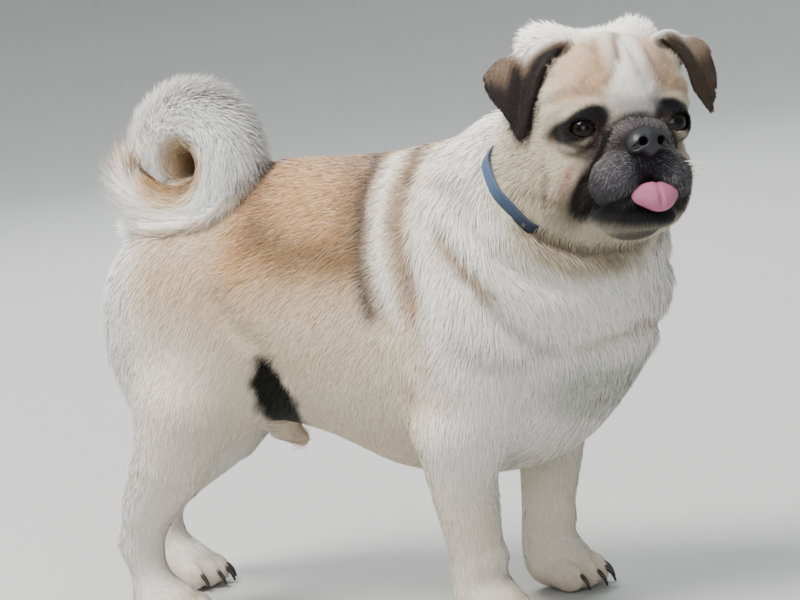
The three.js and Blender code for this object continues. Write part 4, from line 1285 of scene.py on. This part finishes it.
def blended_lie(points, guides, near):
    """The lie of the guides round each place, weighted by how close they are."""
    found = np.zeros_like(points)
    for place, way in guides:
        for side in ((1,) if place[1] == 0 else (1, -1)):
            here = np.array(place, float) * (1, side, 1)
            toward = np.array(way, float) * (1, side, 1)
            off = ((points - here) ** 2).sum(1)
            found += toward / np.sqrt((toward**2).sum()) * (1 / (off + near**2) ** 2)[:, None]
    return unit(found, 1e-12)


ear_ways = {}
for side in (-1, 1):
    sheet = ear_sheet(side)
    ear_ways[side] = unit((sheet[:-1, 1:] - sheet[:-1, :-1]).reshape(-1, 3))


def lie(points):
    """Unit directions that the coat lies along."""
    way = blended_lie(points, BODY_LIE, 12)
    local = (points - HEAD_AT) @ HEAD_TURN
    on_face = ramp((points - COLLAR_CENTRE) @ COLLAR_AXIS, -6, 10)[:, None]
    way = way * (1 - on_face) + blended_lie(local, HEAD_LIE, 5) @ HEAD_TURN.T * on_face
    share, off, _ = on_tail(points)
    tail_here = (off < TAIL_REACH) & (points[:, 2] > TAIL_FOOT)
    ahead, _ = tail_line(share[tail_here] + 0.01)
    behind, _ = tail_line(share[tail_here] - 0.01)
    held = ramp(-off[tail_here], -TAIL_REACH, -23)[:, None]
    way[tail_here] = way[tail_here] * (1 - held) + unit(ahead - behind) * held
    for side in (-1, 1):
        for number in np.nonzero(off_ear(local, side) < EAR_REACH)[0]:
            _, _, quad, gap = ear_tree[side].find_nearest(local[number].tolist())
            if gap < 5:
                way[number] = HEAD_TURN @ ear_ways[side][quad]
    return unit(way)


def puff(points, centre, radii):
    """One in the middle of a thicker place in the coat, thinning out all round."""
    return np.exp(-(((points - np.array(centre)) / np.array(radii)) ** 2).sum(1))


# Middle, half sizes and softness of the short hair on the muzzle, in the head's frame.
SHORT_HAIR = ((53, 2, -28), (34, 40, 36), 0.2)


def tuft_stand(points):
    """How long the hair is in millimetres, and how far it stands off at its root in degrees."""
    x, y, z = points.T
    local = (points - HEAD_AT) @ HEAD_TURN
    forward = local[:, 0]
    ahead = ramp((points - COLLAR_CENTRE) @ COLLAR_AXIS, 0, 12)
    share, off, rim = on_tail(points)
    tail_here = tail_blend(off, z, -23, 268)
    on_flap = (on_ears(local)[0] < 3.5) & (ahead > 0)

    length = np.full(len(points), 9.0)
    length += 4.0 * ramp(x, 95, 150) * ramp(z, 120, 200)
    length += 5.0 * ramp(-x, 95, 130) * ramp(z, 95, 140)
    length -= 2.5 * ramp(-z, -125, -45)
    length -= 2.5 * ramp(-z, -40, -12)
    head_length = 9.5 - 4.2 * ramp(forward, -5, 35)
    head_length -= 1.8 * patch(local, *SHORT_HAIR)
    for side in (-1, 1):
        off_eye = np.sqrt(((local - eye_place(side)[0]) ** 2).sum(1))
        head_length = np.minimum(head_length, 1.8 + 0.25 * np.maximum(off_eye - 12.5, 0))
        head_length += 9 * puff(local, (-12, side * 31, 58), (17, 13, 12))
    head_length += 4 * puff(local, (-14, 2, 60), (22, 22, 12))
    length = length * (1 - ahead) + head_length * ahead
    length += (15 + 7 * rim + 10 * ramp(share, 0.86, 1.0) - length) * tail_here
    length = np.where(on_flap, 3.6, length)

    lift = 12 + 9 * ramp(x, 115, 165) + 9 * ramp(-x, 95, 130) - 3 * ramp(-z, -125, -60)
    lift = lift * (1 - ahead) + (19 - 5 * ramp(forward, 10, 40)) * ahead
    for side in (-1, 1):
        lift += 32 * puff(local, (-12, side * 31, 58), (17, 13, 12))
    lift += 16 * puff(local, (-14, 2, 60), (22, 22, 12))
    lift = np.where(on_flap, 9, lift)
    return length, lift + (34 + 18 * rim - lift) * tail_here


def tuft_colours(root, shown, flecks, chance):
    """The tufts' colours, some of them flecked with white or darker, and where the muzzle is."""
    colour = markings(shown)
    light = ramp(colour.mean(1), 0.02, 0.3)[:, None]
    snout = (root - HEAD_AT) @ HEAD_TURN - MUZZLE_SET
    on_muzzle = (patch(snout, (54, 0, -22), (30, 33, 26), 0.2) * (light[:, 0] < 0.8))[:, None]
    flecked = (0.015 + 0.12 * light + 0.34 * on_muzzle) * ramp(colour.mean(1), 0.006, 0.035)[:, None]
    pick = chance.random(len(root))[:, None]
    share = np.where(light > 0.8, 0.2, chance.uniform(0.05, 0.18 + 0.16 * on_muzzle, (len(root), 1)))
    pale = share * WHITE + (1 - share) * colour
    colour = np.where(pick < flecked * flecks, pale, colour)
    colour = np.where(pick > 0.93, colour * 0.82, colour)
    return colour * chance.normal(1, 0.05, len(root))[:, None], on_muzzle


coat_hair, tree, principled = new_material("coat hair")
held = add_node(tree, "Attribute", attribute_name="markings")
tree.links.new(held.outputs["Color"], principled.inputs["Base Color"])
principled.inputs["Roughness"].default_value = 0.7
principled.inputs["Specular IOR Level"].default_value = 0.2
principled.inputs["Sheen Weight"].default_value = 0.06
principled.inputs["Sheen Roughness"].default_value = 0.5

# The slow swirls in the lie: the waves' directions and lengths, and where the first one starts.
SWIRLS = (((0.11, 0.05, 0.07), 1.3), ((-0.06, 0.13, 0.10), 0), ((0.21, -0.17, 0.24), 0))
# A blade has two corners at its root, two at its middle joint and one at its tip.
BLADE_JOINTS = 2
BLADE_FACES = np.array([(0, 3, 1), (0, 2, 3), (3, 2, 4)])
# Half the side of a tuft's patch in the UV map.
UV_PATCH = 0.0015


def clump_pull(root, normal, cell):
    """From each root to the middle of its clump, along the skin."""
    key = np.floor(root / cell)
    mixed = np.sin(key @ np.array([[12.9, 78.2, 37.7], [39.3, 11.1, 83.1], [73.1, 52.2, 9.1]])) * 43758.5
    pull = (key + 0.5 + 0.35 * (mixed - np.floor(mixed) - 0.5)) * cell - root
    return pull - (pull * normal).sum(1, keepdims=True) * normal


def coat(name, on, tufts, width, nodes, slot, seed):
    """Tufts of the given width spread over some of the skin's faces."""
    chance = np.random.default_rng(seed)
    summed = np.cumsum(np.where(on & ~bare, areas * density, 0))
    picked = np.searchsorted(summed, chance.random(tufts) * summed[-1])
    u, v = chance.random((2, tufts, 1))
    shares = np.concatenate([(1 - u) * (1 - v), u * (1 - v), u * v, (1 - u) * v], 1)[..., None]
    root = (quad_corners[picked] * shares).sum(1)
    normal = unit((normals[faces[picked]] * shares).sum(1))
    spot = (unwrapped[picked] * shares).sum(1)

    way = lie(root)
    way = unit(way - (way * normal).sum(1, keepdims=True) * normal)
    aside = np.cross(normal, way)
    wave = sum(np.sin(root @ np.array(swirl) + start) for swirl, start in SWIRLS)
    swing = np.radians(4.0 * wave + chance.normal(0, 7.0, tufts))[:, None]
    way, aside = way * np.cos(swing) + aside * np.sin(swing), aside * np.cos(swing) - way * np.sin(swing)
    length, lift = tuft_stand(root)
    length = (length * chance.uniform(0.72 - 0.012 * length, 1.18 + 0.008 * length, tufts))[:, None]
    lift = np.radians(lift * chance.uniform(0.5, 1.5, tufts))[:, None]
    pull = clump_pull(root, normal, 5.0 + 0.25 * length.mean())
    gathers = 0.12 + 0.36 * ramp(length, 9, 19)
    wide = width * chance.uniform(0.75, 1.3, tufts)[:, None] * np.clip(length / 9, 0.42, 1)
    roll = chance.normal(0, 0.4, tufts)[:, None]
    edge = aside * np.cos(roll) + normal * np.sin(roll)
    flat = normal * np.cos(roll) - aside * np.sin(roll)

    # Where a blade would end inside the next swell of the skin, it is raised clear of it.
    tip = root + length * (way * np.cos(lift) + normal * np.sin(lift) * 0.58) + pull * gathers
    sunk = np.clip(0.9 - flesh(tip), 0, 5)[:, None]
    on_body = ramp(-(root - COLLAR_CENTRE) @ COLLAR_AXIS, 0, 8)[:, None]
    shown = root + way * length * (0.15 + 0.45 * on_body)
    colour, on_muzzle = tuft_colours(root, shown, slot == "coat", chance)
    wide = wide * (1 - 0.45 * on_muzzle)
    blade = []
    for joint in range(BLADE_JOINTS + 1):
        t = joint / BLADE_JOINTS
        bend = t * (1 - 0.42 * t)
        middle = root - normal * np.minimum(0.5, 0.05 * length) + way * (length * t * np.cos(lift))
        middle = middle + normal * (length * np.sin(lift) * bend)
        middle = middle + pull * gathers * t * t + normal * sunk * t**1.5
        lean = unit(normal + way * np.sin(lift) * 0.2 + flat * 0.16)
        tone = colour * (0.9 + 0.15 * t)
        half = wide * 0.5 * (1 - 0.55 * t * t) * (0.8 if joint == 0 else 1)
        for out in ((-1, 1) if joint < BLADE_JOINTS else (0,)):
            on_map = spot + (UV_PATCH * out, UV_PATCH * (2 * t - 1))
            blade.append((middle + edge * half * out, unit(lean + edge * 0.1 * out), tone, on_map))
    points, blade_normals, tones, spots = (np.stack(kept, 1) for kept in zip(*blade))
    points[..., 2] = np.maximum(points[..., 2], 0.3)
    triangles = (np.arange(tufts)[:, None, None] * len(blade) + BLADE_FACES).reshape(-1, 3)
    made = piece(name, points.reshape(-1, 3), triangles, coat_hair)
    colour_mesh(made.data, np.clip(tones.reshape(-1, 3), 0, 0.95))
    used = np.empty(len(made.data.loops), np.int32)
    made.data.loops.foreach_get("vertex_index", used)
    on_map = np.clip(spots.reshape(-1, 2)[used], 0, 1)
    made.data.uv_layers.new(name="OFBake").data.foreach_set("uv", on_map.astype(np.float32).ravel())
    made.data.normals_split_custom_set_from_vertices(blade_normals.reshape(-1, 3).tolist())
    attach(made, "root")
    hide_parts(*nodes)


# The skin's faces that stay bare, and those under each piece of the coat.
x, y, z = middles.T
in_head = (middles - HEAD_AT) @ HEAD_TURN
past_collar = (middles - COLLAR_CENTRE) @ COLLAR_AXIS
off_tail = on_tail(middles)[1]
off_leather = on_ears(in_head)[0]
bare = (z < 5) & (normals[faces[:, 0], 2] < -0.5)
bare |= nose_form(in_head) < 0.6
bare |= tongue_form(in_head) < 0.4
for side in (-1, 1):
    bare |= np.sqrt(((in_head - eye_place(side)[0]) ** 2).sum(1)) < EYE_RADIUS + 1.6
    bare |= from_line(in_head, furrows["lips", side][0]) < 1.4
tail_faces = (off_tail < TAIL_REACH) & (z > 264) & (past_collar < 0)
ear_faces = (off_leather < 3.2) & (past_collar > -20)
head_faces = (past_collar > 4) & ~ear_faces
bare |= (past_collar > -4.2) & (past_collar < 6.5) & (z > 259) & ((z < 310) | (y > -18)) & ~ear_faces
leg_faces = (z < 128) & ~head_faces & ~tail_faces
leg_faces &= (np.abs(y) > 30) & ((x > 85) | (x < -60)) & ((z < 105) | (np.abs(y) > 48))
body_faces = ~head_faces & ~ear_faces & ~leg_faces & ~tail_faces
chest_faces = body_faces & (x > 112)
trunk_faces = body_faces & (x <= 112)

density = np.ones(len(areas))
density[head_faces] = 1 + 1.6 * ramp(in_head[head_faces, 0], -5, 35)
density += 1.6 * patch(in_head, *SHORT_HAIR) * head_faces
for side in (-1, 1):
    density += 1.5 * puff(in_head, (-10, side * 31, 56), (20, 16, 14)) * head_faces
BODY_NODES = ("torso", "neck")
coat("coat_trunk_right", trunk_faces & (y <= 0), 66000, 0.5, BODY_NODES, "coat", 1)
coat("coat_trunk_left", trunk_faces & (y > 0), 66000, 0.5, BODY_NODES, "coat", 2)
coat("coat_chest", chest_faces, 66000, 0.55, BODY_NODES, "coat", 3)
coat("coat_forelegs", leg_faces & (x > 0), 50000, 0.55, ("foreleg_right", "foreleg_left"), "coat", 4)
coat("coat_hindlegs", leg_faces & (x <= 0), 56000, 0.55, ("hindleg_right", "hindleg_left"), "coat", 5)
coat("coat_tail", tail_faces, 64000, 0.5, ("tail_1", "tail_2", "tail_3", "tail_4"), "coat", 6)
coat("coat_head", head_faces, 66000, 0.5, ("head",), "coat", 7)
coat("coat_ears", ear_faces, 30000, 0.6, ("ear_right", "ear_left"), "ear_coat", 8)


# Collar: a woven blue band, a flat tube of web sewn into a ring. It lies on the neck behind the jowls
# and sinks into the coat at the throat and on the far side.
COLLAR_WIDTH = 9.0
COLLAR_THICKNESS = 2.2
COLLAR_RADIUS = 66
ROUND_SECTION = 20
around = np.linspace(0, 2 * np.pi, 180, endpoint=False)
spokes = np.cos(around)[:, None] * COLLAR_TURN[:, 1] + np.sin(around)[:, None] * COLLAR_TURN[:, 2]
reaches = np.arange(34, 92, 0.5)
places = COLLAR_CENTRE + spokes[:, None] * reaches[None, :, None]
outside = flesh(places.reshape(-1, 3)).reshape(len(around), -1) > 0
reach = reaches[np.maximum(len(reaches) - np.argmax(~outside[:, ::-1], 1), 1) - 1]
on_neck = COLLAR_CENTRE + spokes * reach[:, None]
at_throat = ramp(-on_neck[:, 2], -262, -253)
at_nape = ramp(on_neck[:, 2], 300, 314) * ramp(-on_neck[:, 1], 12, 24)
for _ in range(8):
    reach = 0.25 * np.roll(reach, 1) + 0.5 * reach + 0.25 * np.roll(reach, -1)
reach = reach + 3.2 - 7.5 * np.maximum(at_throat, at_nape)
band_points = []
band_marks = []
for step in range(ROUND_SECTION):
    turn = 2 * np.pi * step / ROUND_SECTION
    wide = np.sign(np.cos(turn)) * abs(np.cos(turn)) ** 0.35
    thick = np.sign(np.sin(turn)) * abs(np.sin(turn)) ** 0.6
    out = COLLAR_CENTRE + spokes * (reach + COLLAR_THICKNESS / 2 * thick)[:, None]
    across = np.full(len(around), wide * COLLAR_WIDTH / 2)
    band_points.append(out + COLLAR_AXIS * COLLAR_WIDTH / 2 * wide)
    # the third part of the marks is the height, from which the web's painted shade is taken
    band_marks.append(np.column_stack([around * COLLAR_RADIUS, across, on_neck[:, 2]]))
band_points = np.stack(band_points, 1).reshape(-1, 3)
band_marks = np.stack(band_marks, 1).reshape(-1, 3)
first, second = np.meshgrid(np.arange(len(around)), np.arange(ROUND_SECTION), indexing="ij")
here = first.ravel() * ROUND_SECTION
onward = (first.ravel() + 1) % len(around) * ROUND_SECTION
second = second.ravel()
beside = (second + 1) % ROUND_SECTION
band_faces = np.column_stack([here + second, here + beside, onward + beside, onward + second])

web, tree, principled = new_material("woven web")
held = add_node(tree, "Attribute", attribute_name="weave_and_height")
ribs = add_node(tree, "TexWave", {"Scale": 0.42}, bands_direction="X")
cords = add_node(tree, "TexWave", {"Scale": 0.3}, bands_direction="Y")
woven = add_node(tree, "Math", operation="MULTIPLY")
tint = add_node(tree, "ValToRGB")
tint.color_ramp.elements[0].color = (0.035, 0.062, 0.13, 1)
tint.color_ramp.elements[1].color = (0.10, 0.18, 0.33, 1)
apart = add_node(tree, "SeparateXYZ")
# painted shade: the band darkens toward its lower end, where it lies in the shadow under the throat
shade_by_height = add_node(tree, "MapRange", {"From Min": 264, "From Max": 288, "To Min": 0.22})
shaded_web = add_node(tree, "Mix", {"Factor": 1.0}, data_type="RGBA", blend_type="MULTIPLY")
bump = add_node(tree, "Bump", {"Strength": 0.6, "Distance": 0.0005})
tree.links.new(held.outputs["Vector"], ribs.inputs["Vector"])
tree.links.new(held.outputs["Vector"], cords.inputs["Vector"])
tree.links.new(held.outputs["Vector"], apart.inputs["Vector"])
tree.links.new(apart.outputs["Z"], shade_by_height.inputs["Value"])
tree.links.new(ribs.outputs["Fac"], woven.inputs[0])
tree.links.new(cords.outputs["Fac"], woven.inputs[1])
tree.links.new(woven.outputs["Value"], tint.inputs["Fac"])
tree.links.new(tint.outputs["Color"], shaded_web.inputs["A"])
tree.links.new(shade_by_height.outputs["Result"], shaded_web.inputs["B"])
tree.links.new(shaded_web.outputs["Result"], principled.inputs["Base Color"])
tree.links.new(woven.outputs["Value"], bump.inputs["Height"])
tree.links.new(bump.outputs["Normal"], principled.inputs["Normal"])
principled.inputs["Roughness"].default_value = 0.7
band = piece("collar_band", band_points, band_faces, web)
marks = band.data.attributes.new("weave_and_height", "FLOAT_VECTOR", "POINT")
marks.data.foreach_set("vector", band_marks.astype(np.float32).ravel())
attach(band, "root")
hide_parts("collar")


# Claws: four blunt claws of dark horn on each foot. They grow out of the toes and curve down from
# between the hairs.
def rod(line, radii, sides=8):
    """Corners and faces of a closed tapered rod along a line."""
    ways = unit(np.gradient(line, axis=0))
    first = unit(np.cross(ways, [0.13, 0.31, 0.94]))
    second = np.cross(ways, first)
    turns = np.linspace(0, 2 * np.pi, sides, endpoint=False)
    rings = [
        place + radius * (np.cos(turns)[:, None] * a + np.sin(turns)[:, None] * b)
        for place, radius, a, b in zip(line, radii, first, second)
    ]
    root = line[:1] - ways[:1] * radii[0] * 0.3
    tip = line[-1:] + ways[-1:] * radii[-1]
    points = np.concatenate(rings + [root, tip])
    triangles = []
    for ring in range(len(line) - 1):
        for step in range(sides):
            a, b = ring * sides + step, ring * sides + (step + 1) % sides
            triangles += [(a, b, b + sides), (a, b + sides, a + sides)]
    last = (len(line) - 1) * sides
    for step in range(sides):
        after = (step + 1) % sides
        triangles += [(len(points) - 2, after, step), (len(points) - 1, last + step, last + after)]
    return points, np.array(triangles)


def gathered(rods):
    """Several rods as one set of corners and faces."""
    starts = np.cumsum([0] + [len(points) for points, _ in rods])
    all_faces = [triangles + start for (_, triangles), start in zip(rods, starts)]
    return np.concatenate([points for points, _ in rods]), np.concatenate(all_faces)


claws = []
for side in (-1, 1):
    for paw in paws(side):
        for toe, splay in toe_places(paw):
            line = through([(8, 0, 2), (13.5, 0, 0.5), (17, 0, -3.5), (18.6, 0, -8)], 8)
            claws.append(rod(toe + line @ turned(12 * splay, 0, 0).T, np.linspace(2.3, 0.7, 8)))
horn, tree, principled = new_material("claw horn")
principled.inputs["Base Color"].default_value = (0.02, 0.016, 0.014, 1)
principled.inputs["Roughness"].default_value = 0.35
claw_set = piece("claws", *gathered(claws), horn)
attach(claw_set, "root")
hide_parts("foreleg_right", "foreleg_left", "hindleg_right", "hindleg_left")


# Whiskers: stiff hairs rooted in the flews, each bending down a little and tapering to a point.
# They are dark on the right flew and pale on the left one.
chance = np.random.default_rng(21)
for side, count, thick, height, name, tint in (
    (-1, 5, 0.16, -34, "whiskers_dark", (0.03, 0.027, 0.027, 1)),
    (1, 9, 0.26, -25, "whiskers_pale", (0.74, 0.72, 0.66, 1)),
):
    whiskers = []
    for number in range(count):
        root = np.array([[60 - 1.5 * number, side * (23 + 1.1 * number), height - 2.6 * (number % 4)]])
        root = settle(head_form, root + MUZZLE_SET, 6)[0]
        reach = chance.uniform(15, 24)
        out = np.array([chance.uniform(0.25, 0.75), side * 0.85, chance.uniform(-0.5, 0.25)])
        drop = np.array([0, 0, chance.uniform(0.3, 0.8) * reach])
        line = [root - out * 1.5, root + out * reach * 0.35, root + out * reach * 0.7 - drop * 0.15,
                root + out * reach - drop * 0.5]
        whiskers.append(rod(from_head(through(line, 9)), np.linspace(thick, 0.05, 9), 4))
    bristle, tree, principled = new_material(name.replace("_", " "))
    principled.inputs["Base Color"].default_value = tint
    principled.inputs["Roughness"].default_value = 0.45
    whisker_set = piece(name, *gathered(whiskers), bristle)
    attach(whisker_set, "root")
    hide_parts("head")
